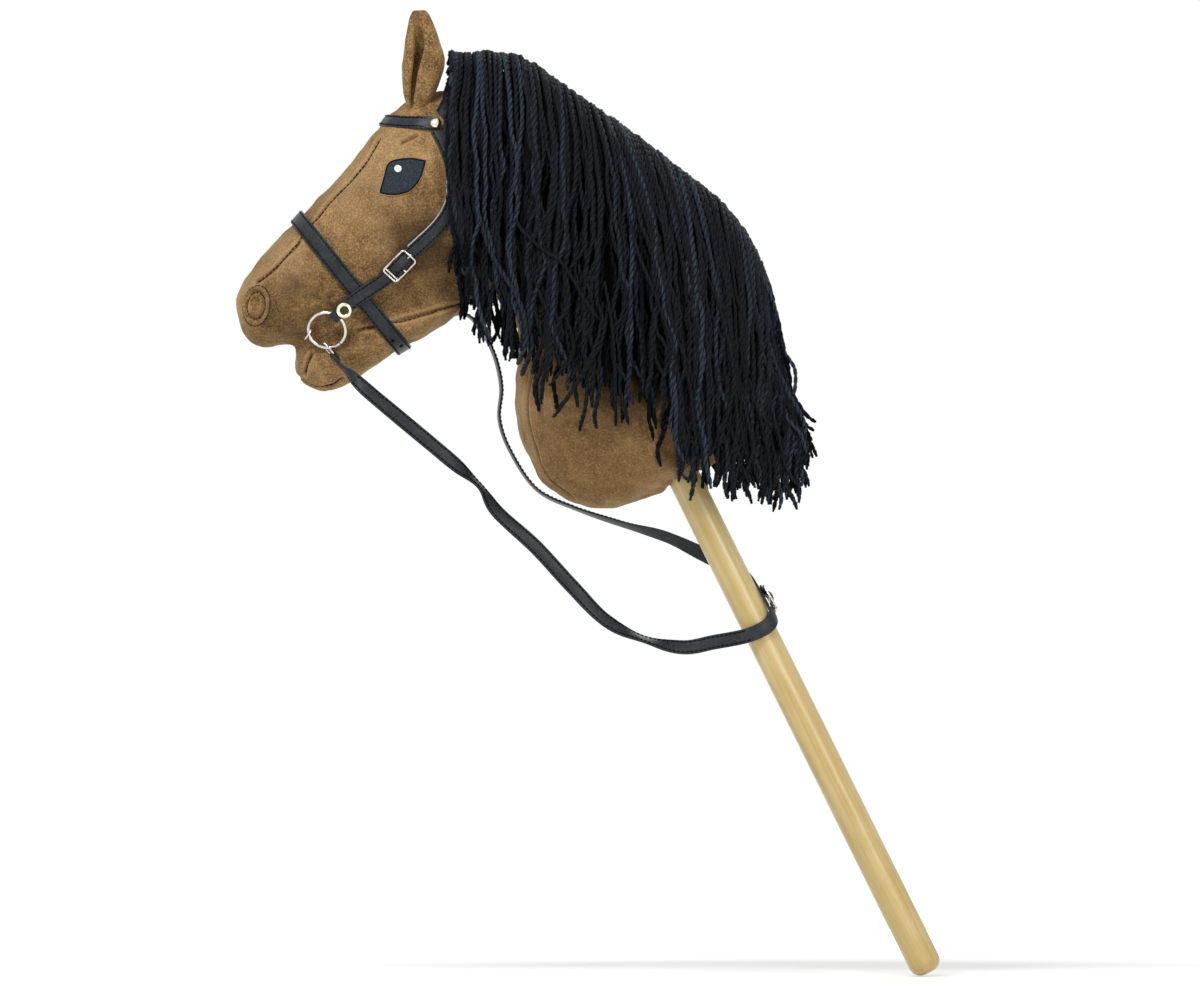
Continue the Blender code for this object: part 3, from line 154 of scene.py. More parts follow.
# matt white board: it shows white and keeps the object's shadow, and its far edge melts into the backdrop
board = bpy.data.materials.new("mattWhiteBoard")
tree = emptyTree(board)
paint = addNode(tree, "ShaderNodeBsdfDiffuse", {"Color": "#f4f4f4"})
where = addNode(tree, "ShaderNodeTexCoord", out="Object")
away = addNode(tree, "ShaderNodeVectorMath", {0: where}, "Value", operation="LENGTH")
span = dict(zip(("From Min", "From Max", "To Min", "To Max"), studio["glowSpan"] + studio["floorGlow"]))
glow = addNode(tree, "ShaderNodeEmission", {"Strength": addNode(tree, "ShaderNodeMapRange", {"Value": away, **span})})
whiteToCamera(tree, "ShaderNodeOutputMaterial", addNode(tree, "ShaderNodeAddShader", {0: paint, 1: glow}), paint)
floorShape = bmesh.new()
bmesh.ops.create_grid(floorShape, x_segments=1, y_segments=1, size=studio["floorReach"])
bmesh.ops.translate(floorShape, vec=(0.0, 0.0, studio["floorHeight"]), verts=floorShape.verts)
floorMesh = bpy.data.meshes.new("floor")
floorShape.to_mesh(floorMesh)
floorShape.free()
floorMesh.materials.append(board)
placed("floor", floorMesh)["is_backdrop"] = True


# materials: each starts with its pattern's place, and ends with its colour, bumps and roughness on the shader
def startMaterial(name, **sockets):
    made = bpy.data.materials.new(name)
    made.use_nodes = True
    shader = made.node_tree.nodes["Principled BSDF"]
    for key, value in sockets.items():
        shader.inputs[key.replace("_", " ")].default_value = fromHex(value) if isinstance(value, str) else value
    return made, made.node_tree, addNode(made.node_tree, "ShaderNodeTexCoord", out="Object")


def mottled(tree, *layers):
    # noise colours laid over each other, each layer as (place, scale, detail, roughness, share, colour stops)
    body = None
    noises = []
    for where, scale, detail, rough, share, stops in layers:
        settings = {"Vector": where, "Scale": scale, "Detail": detail, "Roughness": rough}
        noises.append(addNode(tree, "ShaderNodeTexNoise", settings))
        colour = addNode(tree, "ShaderNodeValToRGB", {"Fac": noises[-1]}, stops=stops)
        body = addNode(tree, "ShaderNodeMix", {0: share, 6: body, 7: colour}, 2, data_type="RGBA") if body else colour
    return body, noises


def endMaterial(made, body, *bumps, rough=None):
    # each bump is (height, strength, distance in metres)
    tree = made.node_tree
    shader = tree.nodes["Principled BSDF"]
    tree.links.new(body, shader.inputs["Base Color"])
    if rough:
        tree.links.new(rough, shader.inputs["Roughness"])
    below = {}
    for height, strength, distance in bumps:
        settings = {"Height": height, "Strength": strength, "Distance": distance, **below}
        below = {"Normal": addNode(tree, "ShaderNodeBump", settings)}
    tree.links.new(below["Normal"], shader.inputs["Normal"])
    return made


def plushVelour(name, shaded):
    # knitted polyester velour, brushed: a short soft pile that goes pale and dark in patches where it is stroked
    made, tree, where = startMaterial(
        name, Roughness=0.92, Sheen_Weight=1.0, Sheen_Roughness=0.32, Sheen_Tint="#e4caa2", Specular_IOR_Level=0.04
    )
    # patches of about 30 mm and 10 mm, and tufts of about 1.5 mm, drawn coarse enough to show
    body, (_, small, pile) = mottled(
        tree,
        (where, 34.0, 3.0, 0.55, 1.0, [(0.30, "#573e23"), (0.45, "#80613d"), (0.57, "#a27f52"), (0.70, "#c7a373")]),
        (where, 105.0, 2.0, 0.6, 0.42, [(0.34, "#523a22"), (0.5, "#8c6b44"), (0.66, "#bb9665")]),
        (where, 680.0, 2.0, 0.7, 0.42, [(0.34, "#3c2a18"), (0.5, "#8d6c45"), (0.66, "#e0bd8a")]),
    )
    if shaded:
        napped = addNode(tree, "ShaderNodeMix", {0: 0.45, 6: body, 7: "#70553a"}, 2, data_type="RGBA")
        # the neck's nap, stroked pile with painted shade, painted shade under the mane, a painted highlight on lit
        # edges and tops, and painted shade in the seams with a painted highlight on their ridges
        shades = (
            ("nap", napped), ("strokedAndShaded", "#38281a"), ("maneShade", "#0e0c0a"),
            ("paintedHighlight", "#dcb888"), ("ridge", "#c6a273"), ("seam", "#3b2612"),
        )
        for shade, colour in shades:
            share = addNode(tree, "ShaderNodeAttribute", out="Fac", attribute_name=shade)
            body = addNode(tree, "ShaderNodeMix", {0: share, 6: body, 7: colour}, 2, data_type="RGBA")
    return endMaterial(made, body, (small, 0.3, 0.003), (pile, 0.8, 0.0014))


def woolYarn(name, level):
    # two-ply acrylic wool, spun loosely: matt, each strand its own tone, painted shade between its plies, with a haze
    # of fibres
    made, tree, where = startMaterial(
        name, Roughness=0.5, Sheen_Weight=0.03 * level, Sheen_Roughness=0.4, Sheen_Tint="#5d6c84",
        Specular_IOR_Level=0.09 * level,
    )
    tone, ply = (addNode(tree, "ShaderNodeAttribute", out="Fac", attribute_name=word) for word in ("tone", "ply"))
    tones = [(0.0, "#040506"), (0.45, "#0b0e12"), (1.0, "#3c4652")]
    body = addNode(tree, "ShaderNodeValToRGB", {"Fac": tone}, stops=tones)
    # fibres, drawn coarser than real ones, so that they show
    haze, (fibres,) = mottled(tree, (where, 1300.0, 3.0, 0.7, 1.0, [(0.35, "#030304"), (0.65, "#3c4550")]))
    # the last mix, for a level below 1, goes towards near black, and sheen and shine drop with the level: painted shade
    # for the mane's deeper layers
    for share, first, second in ((0.28, None, haze), (ply, "#020203", None), (1.0 - level, None, "#020203")):
        body = addNode(tree, "ShaderNodeMix", {0: share, 6: first or body, 7: second or body}, 2, data_type="RGBA")
    return endMaterial(made, body, (fibres, 0.7, 0.0008))


def coatedLeather(name):
    # split leather with a black polyurethane coat: fine grain and a satin shine
    made, tree, where = startMaterial(name, Roughness=0.36, Specular_IOR_Level=0.22)
    body, (_, wear) = mottled(
        tree,
        (where, 90.0, 3.0, 0.5, 1.0, [(0.35, "#1b1e21"), (0.65, "#2b2f33")]),
        (where, 380.0, 3.0, 0.65, 0.32, [(0.42, "#1a1d20"), (0.75, "#4a5056")]),
    )
    grain = addNode(tree, "ShaderNodeTexVoronoi", {"Vector": where, "Scale": 1300.0})
    rough = addNode(tree, "ShaderNodeMapRange", {"Value": wear, "To Min": 0.28, "To Max": 0.52})
    return endMaterial(made, body, (grain, 0.22, 0.0003), (wear, 0.15, 0.0004), rough=rough)


def thread(name, dark, pale):
    # bonded polyester sewing thread
    made, tree, where = startMaterial(name, Roughness=0.8, Specular_IOR_Level=0.1)
    body, (twist,) = mottled(tree, (where, 2600.0, 1.0, 0.5, 1.0, [(0.35, dark), (0.65, pale)]))
    return endMaterial(made, body, (twist, 0.3, 0.0002))


def feltCloth(name, dark, pale):
    # pressed felt under machine embroidery
    made, tree, where = startMaterial(name, Roughness=0.9, Sheen_Weight=0.12, Specular_IOR_Level=0.1)
    body, (fibres,) = mottled(tree, (where, 900.0, 3.0, 0.7, 1.0, [(0.32, dark), (0.68, pale)]))
    return endMaterial(made, body, (fibres, 0.5, 0.0005))


def platedMetal(name, bright, dull, roughness):
    # nickel or brass plate on steel, polished, with faint haze from handling
    made, tree, where = startMaterial(name, Metallic=1.0)
    body, (haze,) = mottled(tree, (where, 420.0, 3.0, 0.6, 1.0, [(0.3, dull), (0.6, bright)]))
    rough = addNode(tree, "ShaderNodeMapRange", {"Value": haze, "To Min": roughness * 0.7, "To Max": roughness * 1.6})
    return endMaterial(made, body, (haze, 0.06, 0.0003), rough=rough)


stickLean = math.radians(26.35)


def varnishedPine(name):
    # turned softwood dowel under clear varnish: pale, with long faint grain
    made, tree, where = startMaterial(name, Roughness=0.45, Coat_Weight=0.6, Coat_Roughness=0.3)
    upright = addNode(tree, "ShaderNodeMapping", {"Vector": where, "Rotation": (0.0, stickLean, 0.0)})
    grainwise = addNode(tree, "ShaderNodeMapping", {"Vector": upright, "Scale": (1.0, 1.0, 0.035)})
    # growth rings 4 to 7 mm apart, fine grain and blotches
    body, (_, fine, _) = mottled(
        tree,
        (grainwise, 150.0, 3.0, 0.6, 1.0, [(0.28, "#b1954f"), (0.46, "#c2a762"), (0.57, "#d1b977"), (0.74, "#decb92")]),
        (grainwise, 900.0, 2.0, 0.6, 0.25, [(0.35, "#bfa05a"), (0.65, "#e0cc92")]),
        (where, 22.0, 2.0, 0.5, 0.22, [(0.35, "#bd9e58"), (0.65, "#e3d09c")]),
    )
    return endMaterial(made, body, (fine, 0.05, 0.0004))


velour = plushVelour("polyesterVelour", True)
earVelour = plushVelour("polyesterVelourEar", False)
yarn = woolYarn("acrylicWool", 1.0)
# a darker copy of the yarn for the mane's deeper layers: painted shade
shadedYarn = woolYarn("acrylicWoolShaded", 0.45)
leather = coatedLeather("splitLeather")
blackThread = thread("blackThread", "#020203", "#08090b")
brownThread = thread("brownThread", "#2a1b0d", "#4a331c")
tanThread = thread("tanThread", "#8a6a44", "#c2a076")
eyeFelt = feltCloth("slateFelt", "#141a1e", "#3d4950")
whiteFelt = feltCloth("whiteSatinStitch", "#d9dcde", "#fbfcfc")
pipingEdge = thread("paleEdge", "#8f9498", "#c9cccb")
nickel = platedMetal("nickelPlate", "#d9d4cc", "#b3aca2", 0.16)
paleBrass = platedMetal("paleBrassPlate", "#f0e9d4", "#d3c8a6", 0.22)
# dark plate for the rivet's dished centre: a painted reflection of its hollow
reflectionBrass = platedMetal("brassCupPaintedReflection", "#4d4932", "#25231a", 0.35)
twine = thread("waxedTwine", "#5f4930", "#8c7350")
pine = varnishedPine("varnishedPine")
print("materials made")


# what the pieces share
def linked(name, data, finish, body=mainBody, replaces=()):
    made = placed(name, data)
    data.materials.clear()
    data.materials.append(finish)
    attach(made, body)
    if replaces:
        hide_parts(*replaces)
    return made


def meshOf(name, shape, sharp=50.0):
    mesh = bpy.data.meshes.new(name)
    shape.to_mesh(mesh)
    shape.free()
    mesh.shade_smooth()
    mesh.set_sharp_from_angle(angle=math.radians(sharp))
    return mesh


def appliedMesh(holder):
    # the mesh that the holder evaluates to, without the holder
    bpy.context.view_layer.update()
    made = bpy.data.meshes.new_from_object(holder.evaluated_get(bpy.context.evaluated_depsgraph_get()))
    bpy.data.objects.remove(holder)
    return made


def treeOf(*names):
    shape = bmesh.new()
    for name in names:
        shape.from_mesh(nodes[name].data)
    tree = BVHTree.FromBMesh(shape)
    shape.free()
    return tree


def castSide(tree, x, z, side):
    point, normal = tree.ray_cast(Vector((x, side * 0.4, z)), Vector((0.0, -side, 0.0)))[:2]
    return (point, normal) if point else None


def catmull(before, start, end, after, t):
    return 0.5 * (
        2.0 * start + (end - before) * t + (2.0 * before - 5.0 * start + 4.0 * end - after) * t**2
        + (3.0 * start - before - 3.0 * end + after) * t**3
    )


def padOut(points):
    # one more point before the first and after the last, for the smooth line through them
    return [points[0] * 2.0 - points[1], *points, points[-1] * 2.0 - points[-2]]


def smoothLine(points, step):
    # a smooth line through the points, sampled about one step apart
    points = [Vector(point) for point in points]
    padded = padOut(points)
    samples = []
    for k in range(1, len(padded) - 2):
        count = max(1, round((padded[k + 1] - padded[k]).length / step))
        samples += [catmull(*padded[k - 1 : k + 3], part / count) for part in range(count)]
    return samples + [points[-1]]


def flatLine(places, step):
    return smoothLine([(x, 0.0, z) for x, z in places], step)


def rowAt(rows, at):
    # the smooth row at this fractional place among the rows
    last = len(rows) - 1
    k = min(int(at), last - 1)
    return catmull(*(Vector(rows[min(max(j, 0), last)]) for j in range(k - 1, k + 3)), at - k)


def wayAt(points, k, closed=False):
    # from the point before to the point after
    ahead = (k + 1) % len(points) if closed else min(k + 1, len(points) - 1)
    return points[ahead] - points[k - 1 if k or closed else 0]


def ease(value, low, high):
    value = min(1.0, max(0.0, (value - low) / (high - low)))
    return value * value * (3.0 - 2.0 * value)


def within(value, rise, fall):
    return ease(value, *rise) * (1.0 - ease(value, *fall))


def bell(value, width):
    return math.exp(-((value / width) ** 2))


def square(direction, axis):
    return (direction - axis * direction.dot(axis)).normalized()


def evened(values, rounds, closed=False):
    for _ in range(rounds):
        last = len(values) - 1
        before = [values[k - 1 if k or closed else 0] for k in range(len(values))]
        after = [values[(k + 1) % len(values) if closed else min(k + 1, last)] for k in range(len(values))]
        values = [(low + value * 2.0 + high) / 4.0 for low, value, high in zip(before, values, after)]
    return values


def strapPiece(name, rows, thickness, closed=False, replaces=()):
    # a grid wrapped round the strap's section, with rows of (middle of the outer face, normal, width) along it
    # the section is (edge, inset, height): rolled edges, a sewn groove and a slightly full middle
    edge = [(0.0, 0.1), (0.0, 0.55), (0.0004, 0.88), (0.0009, 0.98), (0.0014, 0.86), (0.002, 0.98)]
    ring = [(-1, *place) for place in edge] + [(0, -1.0, 1.08), (0, 0.0, 1.14), (0, 1.0, 1.08)]
    ring += [(1, *place) for place in reversed(edge)] + [(1, 0.0005, 0.0), (-1, 0.0005, 0.0)]
    around = len(ring)
    middles = [row[0] for row in rows]
    along = len(rows) if closed else len(rows) - 1
    shape = bmesh.new()
    shape.loops.layers.uv.new("UVMap")
    bmesh.ops.create_grid(shape, x_segments=along, y_segments=around, size=0.5, calc_uvs=True)
    for vertex in shape.verts:
        k = round((vertex.co.x + 0.5) * along) % len(rows)
        side, inset, height = ring[round((vertex.co.y + 0.5) * around) % around]
        middle, normal, width = rows[k]
        tangent = wayAt(middles, k, closed).normalized()
        normal = square(normal, tangent)
        across = side * (width / 2.0 - inset) if side else inset * width * 0.25
        vertex.co = middle + normal.cross(tangent) * across + normal * thickness * (height - 1.0)
    bmesh.ops.remove_doubles(shape, verts=shape.verts, dist=0.00002)
    if not closed:
        bmesh.ops.holes_fill(shape, edges=[edge for edge in shape.edges if edge.is_boundary], sides=0)
    bmesh.ops.recalc_face_normals(shape, faces=shape.faces)
    return linked(f"{name}_leather", meshOf(name, shape, sharp=60.0), leather, replaces=replaces)


def lineCurve(name, lines, cyclic=False):
    data = bpy.data.curves.new(name, "CURVE")
    data.dimensions = "3D"
    for line in lines:
        spline = data.splines.new("POLY")
        spline.points.add(len(line) - 1)
        spline.points.foreach_set("co", [value for point in line for value in (*point, 1.0)])
        spline.use_cyclic_u = cyclic
    return data


def wireMesh(name, lines, radius, sides=2, cyclic=False, caps=True):
    # many short or long wires as one mesh
    data = lineCurve(name, lines, cyclic)
    data.bevel_depth = radius
    data.bevel_resolution = sides
    data.use_fill_caps = caps
    shape = bmesh.new()
    shape.from_mesh(appliedMesh(placed(name, data)))
    bmesh.ops.remove_doubles(shape, verts=shape.verts, dist=radius * 0.02)
    bmesh.ops.recalc_face_normals(shape, faces=shape.faces)
    return meshOf(name, shape, sharp=60.0)


def wirePiece(name, lines, radius, finish, sides=1, cyclic=False, caps=True, replaces=()):
    return linked(name, wireMesh(name, lines, radius, sides, cyclic, caps), finish, replaces=replaces)


def dashes(line, pitch, long, rise):
    # stitches along a line of (point, normal), as short bowed wires
    made = []
    run = 0.0
    due = pitch * 0.5
    for (start, normal), (end, _) in zip(line, line[1:]):
        length = (end - start).length
        while length and run + length >= due:
            here = start.lerp(end, (due - run) / length)
            tangent = (end - start).normalized()
            bow = normal * rise
            low, high = tangent * long / 2.0, tangent * long / 4.0
            made.append([here - low - bow, here - high + bow * 0.7, here + high + bow * 0.7, here + low - bow])
            due += pitch
        run += length
    return made


stitchPlan = dict(pitch=0.0036, length=0.0025, inset=0.0018, bow=0.00025, thread=0.00048)


def sewnEdges(rows, closed=False):
    # stitches beside both edges of a strap
    middles = [row[0] for row in rows]
    sewn = []
    for edge in (-1.0, 1.0):
        line = []
        for k, (middle, normal, width) in enumerate(rows):
            aside = normal.cross(wayAt(middles, k, closed)).normalized()
            line.append((middle + aside * edge * (width / 2.0 - stitchPlan["inset"]), normal))
        line += line[:1] if closed else []
        sewn += dashes(line, stitchPlan["pitch"], stitchPlan["length"], stitchPlan["bow"])
    return sewn


def turnedPiece(name, profile, place, steps, finish, replaces=()):
    # a profile of (radius, height) spun round the place's Z axis
    shape = bmesh.new()
    verts = [shape.verts.new((radius, 0.0, height)) for radius, height in profile]
    edges = [shape.edges.new(pair) for pair in zip(verts, verts[1:])]
    bmesh.ops.spin(
        shape, geom=verts + edges, cent=(0, 0, 0), axis=(0, 0, 1), angle=math.tau, steps=steps, use_merge=True
    )
    bmesh.ops.remove_doubles(shape, verts=shape.verts, dist=0.000005)
    bmesh.ops.recalc_face_normals(shape, faces=shape.faces)
    bmesh.ops.transform(shape, matrix=place, verts=shape.verts)
    return linked(name, meshOf(name, shape), finish, replaces=replaces)


def placeOf(origin, xAxis, zAxis):
    zAxis = zAxis.normalized()
    xAxis = square(xAxis, zAxis)
    made = Matrix((xAxis, zAxis.cross(xAxis), zAxis)).transposed().to_4x4()
    made.translation = origin
    return made


def flatAxes(node):
    # a CAD node's middle and its axes, longest first
    points = np.array([vertex.co for vertex in nodes[node].data.vertices])
    points = np.unique(points.round(7), axis=0)
    middle = (points.min(0) + points.max(0)) / 2.0
    axes = np.linalg.svd(points - points.mean(0), full_matrices=False)[2]
    return Vector(points.mean(0)), [Vector(axis) for axis in axes], Vector(middle)


# the stick's measures, which the reins and the cover need too
stickPlan = dict(
    diameter=0.026, lean=stickLean, belowGrip=0.287, aboveGrip=0.335, exitHeight=0.150, corner=0.010, flat=0.0035
)
upStick = Vector((-math.sin(stickPlan["lean"]), 0.0, math.cos(stickPlan["lean"])))
acrossStick = Vector((math.cos(stickPlan["lean"]), 0.0, math.sin(stickPlan["lean"])))

# reins: two long straps, from the bit rings to the buckle that joins them on the stick
reinPlan = dict(
    width=0.0118, startWidth=0.0074, thickness=0.0016, gap=0.0003, seat=0.0006, buckleTurn=8.0, buckleHeight=0.0378,
    buckleSlant=math.radians(25.0), overlap=(-0.0105, 0.0115), farTip=-0.0065, hump=0.0039, step=0.0022,
    unsewn=(10, -28),
    # (x, y, z) and the roll in degrees from facing sideways, then (degrees round the stick, height, radius)
    near=[
        (-0.3224, -0.045, 0.2088, 20), (-0.292, -0.047, 0.1832, 8), (-0.2584, -0.046, 0.1552, 15),
        (-0.2328, -0.044, 0.1328, 72), (-0.2176, -0.042, 0.1112, 30), (-0.1872, -0.038, 0.0832, 12),
        (-0.1592, -0.034, 0.0528, 10), (-0.1312, -0.03, 0.0248, 30), (-0.1008, -0.025, 0.0096, 66),
        (-0.0696, -0.02, 0.0032, 20), (-0.0448, -0.0175, 0.0072, 0), (-0.02, -0.0165, 0.012, 0),
    ],
    far=[
        (-0.299, 0.0485, 0.252, 76), (-0.272, 0.0515, 0.264, 78), (-0.2472, 0.049, 0.2704, 80),
        (-0.2328, 0.044, 0.259, 80), (-0.2208, 0.0415, 0.2368, 80), (-0.2152, 0.04, 0.2112, 80),
        (-0.2168, 0.0385, 0.1856, 82), (-0.208, 0.037, 0.16, 82), (-0.1872, 0.034, 0.1296, 82),
        (-0.1568, 0.03, 0.1144, 80), (-0.1184, 0.024, 0.1016, 70), (-0.0824, 0.019, 0.0912, 46),
        (-0.052, 0.0165, 0.0768, 18), (-0.0336, 0.0152, 0.0672, 0),
    ],
    nearWrap=[(-77.0, 0.0185, 0.0157), (-40.0, 0.0212, 0.0163)], farWrap=[(56.0, 0.0622, 0.0147)],
    # where each rein leaves its folded end on the link: the place, along it, and the way that it faces
    nearStart=((-0.34489, -0.03507, 0.23059), (0.6409, -0.2873, -0.7118), (-0.7641, -0.3276, -0.5557)),
    farStart=((-0.32616, 0.03898, 0.24829), (0.9565, 0.2873, 0.0501), (-0.049, 0.3276, -0.9435)),
)


def besideStick(degrees, height, radius):
    turn = math.radians(degrees)
    out = acrossStick * math.cos(turn) + sideways * math.sin(turn)
    return upStick * height + out * radius, out


buckleRadius = stickPlan["diameter"] / 2.0 + reinPlan["seat"]
buckleFoot, buckleOut = besideStick(reinPlan["buckleTurn"], reinPlan["buckleHeight"], buckleRadius)
buckleAside = buckleOut.cross(upStick) * math.sin(reinPlan["buckleSlant"])
reinPlace = placeOf(buckleFoot, upStick * math.cos(reinPlan["buckleSlant"]) - buckleAside, buckleOut)


def reinKeys(word, side):
    begin, along, facing = (Vector(value) for value in reinPlan[word + "Start"])
    keys = [(begin, facing), (begin + along * 0.004, facing)]
    route = reinPlan[word]
    points = [Vector(key[:3]) for key in route]
    for k, key in enumerate(route):
        tangent = wayAt(points, k).normalized()
        level = square(Vector((0.0, side, 0.0)), tangent)
        roll = math.radians(key[3])
        keys.append((points[k], level * math.cos(roll) + tangent.cross(level) * math.sin(roll) * side))
    keys += [besideStick(*key) for key in reinPlan[word + "Wrap"]]
    low, high = reinPlan["overlap"]
    if word == "near":
        level = reinPlan["thickness"] + 2.0 * reinPlan["gap"]
        order = [low + (high - low) * k / 12 for k in range(13)]
        order = [(x, level + reinPlan["hump"] * (1.0 - ease(abs(x), 0.0014, 0.0075))) for x in order]
    else:
        order = [(high, 0.0), (0.0, 0.0), (reinPlan["farTip"], 0.0)]
    keys += [(reinPlace @ Vector((x, 0.0, rise + reinPlan["thickness"] / 2.0)), buckleOut) for x, rise in order]
    return keys, len(keys) - len(order)


for word, side in bothSides:
    keys, ordered = reinKeys(word, side)
    points = [point for point, normal in keys]
    padded = padOut(points)
    middles, normals = [], []
    for k in range(len(points) - 1):
        count = max(1, round((points[k + 1] - points[k]).length / reinPlan["step"]))
        for part in range(count):
            t = part / count
            middles.append(points[k].lerp(points[k + 1], t) if k >= ordered else catmull(*padded[k : k + 4], t))
            normals.append(keys[k][1].lerp(keys[k + 1][1], t * t * (3.0 - 2.0 * t)).normalized())
    middles.append(points[-1])
    normals = evened(normals + [keys[-1][1]], 3)
    run = 0.0
    rows = []
    for k, (middle, normal) in enumerate(zip(middles, normals)):
        run += (middle - middles[max(k - 1, 0)]).length
        width = reinPlan["startWidth"] + (reinPlan["width"] - reinPlan["startWidth"]) * ease(run, 0.004, 0.035)
        face = middle + square(normal, wayAt(middles, k).normalized()) * reinPlan["thickness"] / 2.0
        rows.append((face, normal, width))
    rein = strapPiece(f"rein_{word}", rows, reinPlan["thickness"], replaces=(f"rein_{word}",))
    sewn = sewnEdges(rows[slice(*reinPlan["unsewn"])])
    sewn = wirePiece(f"rein_{word}_stitches", sewn, stitchPlan["thread"], blackThread, caps=False)
    # a strap cut to this length, bridged from the ring to the buckle
    print(f"rein {word}: {run:.3f} m")


# plush skin: one sewn cover over the filling of neck, head and lower jaw
skinPlan = dict(
    voxel=0.0032, joinBy=0.0006, evenings=6, pressure=4.0, frames=20, cap=0.0025, seamDepth=0.0024, seamWidth=0.0021,
    pleat=0.0016, mouthFold=0.0016, mouthDepth=0.0022, mouthReach=0.013, underStraps=(0.0022, 0.0065), pressedIn=0.0004,
    # the fullness beside a seam, the painted shade in it and the painted highlight on its ridges, as (amount, distance
    # from the seam, width)
    fullness=(0.0005, 0.0045, 0.003), seamShade=(0.6, 0.0, 0.0013), ridgeHighlight=(0.4, 0.0031, 0.0012),
    # the neck's nap starts along a line that leans, and the patches of painted shade and painted highlight grow no
    # stronger than this
    napHeight=0.3, napSlope=0.35, napFrom=(-0.255, -0.215), mostStrokedAndShaded=0.8, mostHighlight=0.5,
    # lumps in the filling, as height and scale
    lumps=((0.0022, 24.0), (0.0013, 62.0), (0.0004, 140.0)),
    formed=("neck", "head", "lower_jaw"), sewn=("gusset", "cheek", "chin", "lip"),
)
seams = {
    "gusset": [
        (-0.312, 0.4088), (-0.3168, 0.4008), (-0.326, 0.3868), (-0.344, 0.3668), (-0.356, 0.3528), (-0.364, 0.3432),
        (-0.3768, 0.3268), (-0.3888, 0.3128), (-0.402, 0.3), (-0.41, 0.2948),
    ],
    "cheek": [(-0.242, 0.279), (-0.268, 0.2716), (-0.293, 0.2652), (-0.313, 0.26), (-0.329, 0.257)],
    "chin": [(-0.3792, 0.2216), (-0.3712, 0.2152), (-0.36, 0.2112), (-0.3488, 0.213), (-0.342, 0.2176)],
    "lip": [(-0.3664, 0.2372), (-0.37, 0.23), (-0.372, 0.2216)],
    "neckFront": [
        (-0.1984, 0.248), (-0.1936, 0.2304), (-0.1944, 0.2008), (-0.1896, 0.1664), (-0.1784, 0.1392),
        (-0.1576, 0.1232),
    ],
    "brow": [(-0.2952, 0.406), (-0.287, 0.4096), (-0.283, 0.4116)],
}


def grownForms():
    # each form a little fuller, so that they join when they are remeshed
    joined = bmesh.new()
    for name in skinPlan["formed"]:
        part = bmesh.new()
        part.from_mesh(nodes[name].data)
        bmesh.ops.remove_doubles(part, verts=part.verts, dist=0.00001)
        part.normal_update()
        for vertex in part.verts:
            vertex.co += vertex.normal * skinPlan["joinBy"]
        whole = bpy.data.meshes.new("part")
        part.to_mesh(whole)
        part.free()
        joined.from_mesh(whole)
    return joined


def remeshed(name, shape):
    mesh = bpy.data.meshes.new(name)
    shape.to_mesh(mesh)
    shape.free()
    holder = placed(name, mesh)
    even = holder.modifiers.new("even", "REMESH")
    even.mode = "VOXEL"
    even.voxel_size = skinPlan["voxel"]
    made = bmesh.new()
    made.from_mesh(appliedMesh(holder))
    for _ in range(skinPlan["evenings"]):
        bmesh.ops.smooth_vert(made, verts=made.verts, factor=0.5, use_axis_x=True, use_axis_y=True, use_axis_z=True)
    return made


def puffed(name, mesh, pins):
    # the filling presses the cover out between its seams
    holder = placed(name + "Sim", mesh)
    group = holder.vertex_groups.new(name="pins")
    for index, weight in pins:
        group.add([index], weight, "REPLACE")
    cloth = holder.modifiers.new("cloth", "CLOTH")
    settings = cloth.settings
    settings.quality = 4
    settings.mass = 0.15
    settings.use_pressure = True
    settings.uniform_pressure_force = skinPlan["pressure"]
    settings.effector_weights.gravity = 0.0
    settings.vertex_group_mass = "pins"
    settings.tension_stiffness = settings.compression_stiffness = 12.0
    settings.bending_stiffness = 1.5
    cloth.collision_settings.use_collision = False
    for moment in range(1, skinPlan["frames"] + 1):
        scene.frame_set(moment)
    moved = appliedMesh(holder)
    before = np.empty(len(mesh.vertices) * 3)
    after = np.empty(len(mesh.vertices) * 3)
    mesh.vertices.foreach_get("co", before)
    moved.vertices.foreach_get("co", after)
    shift = (after - before).reshape(-1, 3)
    length = np.linalg.norm(shift, axis=1, keepdims=True)
    shift *= np.minimum(1.0, skinPlan["cap"] / np.maximum(length, 1e-9))
    mesh.vertices.foreach_set("co", (before.reshape(-1, 3) + shift).ravel())
    scene.frame_set(1)
    return mesh


formTree = treeOf(*skinPlan["formed"])
seamLines = []
for seamName, route in seams.items():
    for word, side in bothSides:
        line = [castSide(formTree, point.x, point.z, side) for point in flatLine(route, 0.0008)]
        seamLines.append((seamName, [hit for hit in line if hit]))
seamPoints = [point for seamName, line in seamLines for point, normal in line]
seamTree = KDTree(len(seamPoints))
for index, point in enumerate(seamPoints):
    seamTree.insert(point, index)
seamTree.balance()

stickExit = upStick * stickPlan["exitHeight"]
coarse = remeshed("skin", grownForms())
strapTree = treeOf("noseband", "cheek_strap_near", "cheek_strap_far", "browband", "throatlatch", "crown_strap")
pins = []
for vertex in coarse.verts:
    toSeam = seamTree.find(vertex.co)[2]
    toStrap = strapTree.find_nearest(vertex.co)[3]
    offAxis = (vertex.co - stickExit).cross(upStick).length
    hold = max(1.0 - ease(toSeam, 0.002, 0.009), 1.0 - ease(toStrap, 0.004, 0.01), 1.0 - ease(offAxis, 0.016, 0.03))
    if hold > 0.0:
        pins.append((vertex.index, hold))
skinMesh = bpy.data.meshes.new("skin")
coarse.to_mesh(skinMesh)
coarse.free()
skinMesh = puffed("skin", skinMesh, pins)
print("skin filled")
holder = placed("skinHolder", skinMesh)
soft = holder.modifiers.new("soft", "SUBSURF")
soft.levels = soft.render_levels = 1
skinMesh = appliedMesh(holder)

maneTrees = {word: treeOf(f"mane_{word}") for word, side in bothSides}
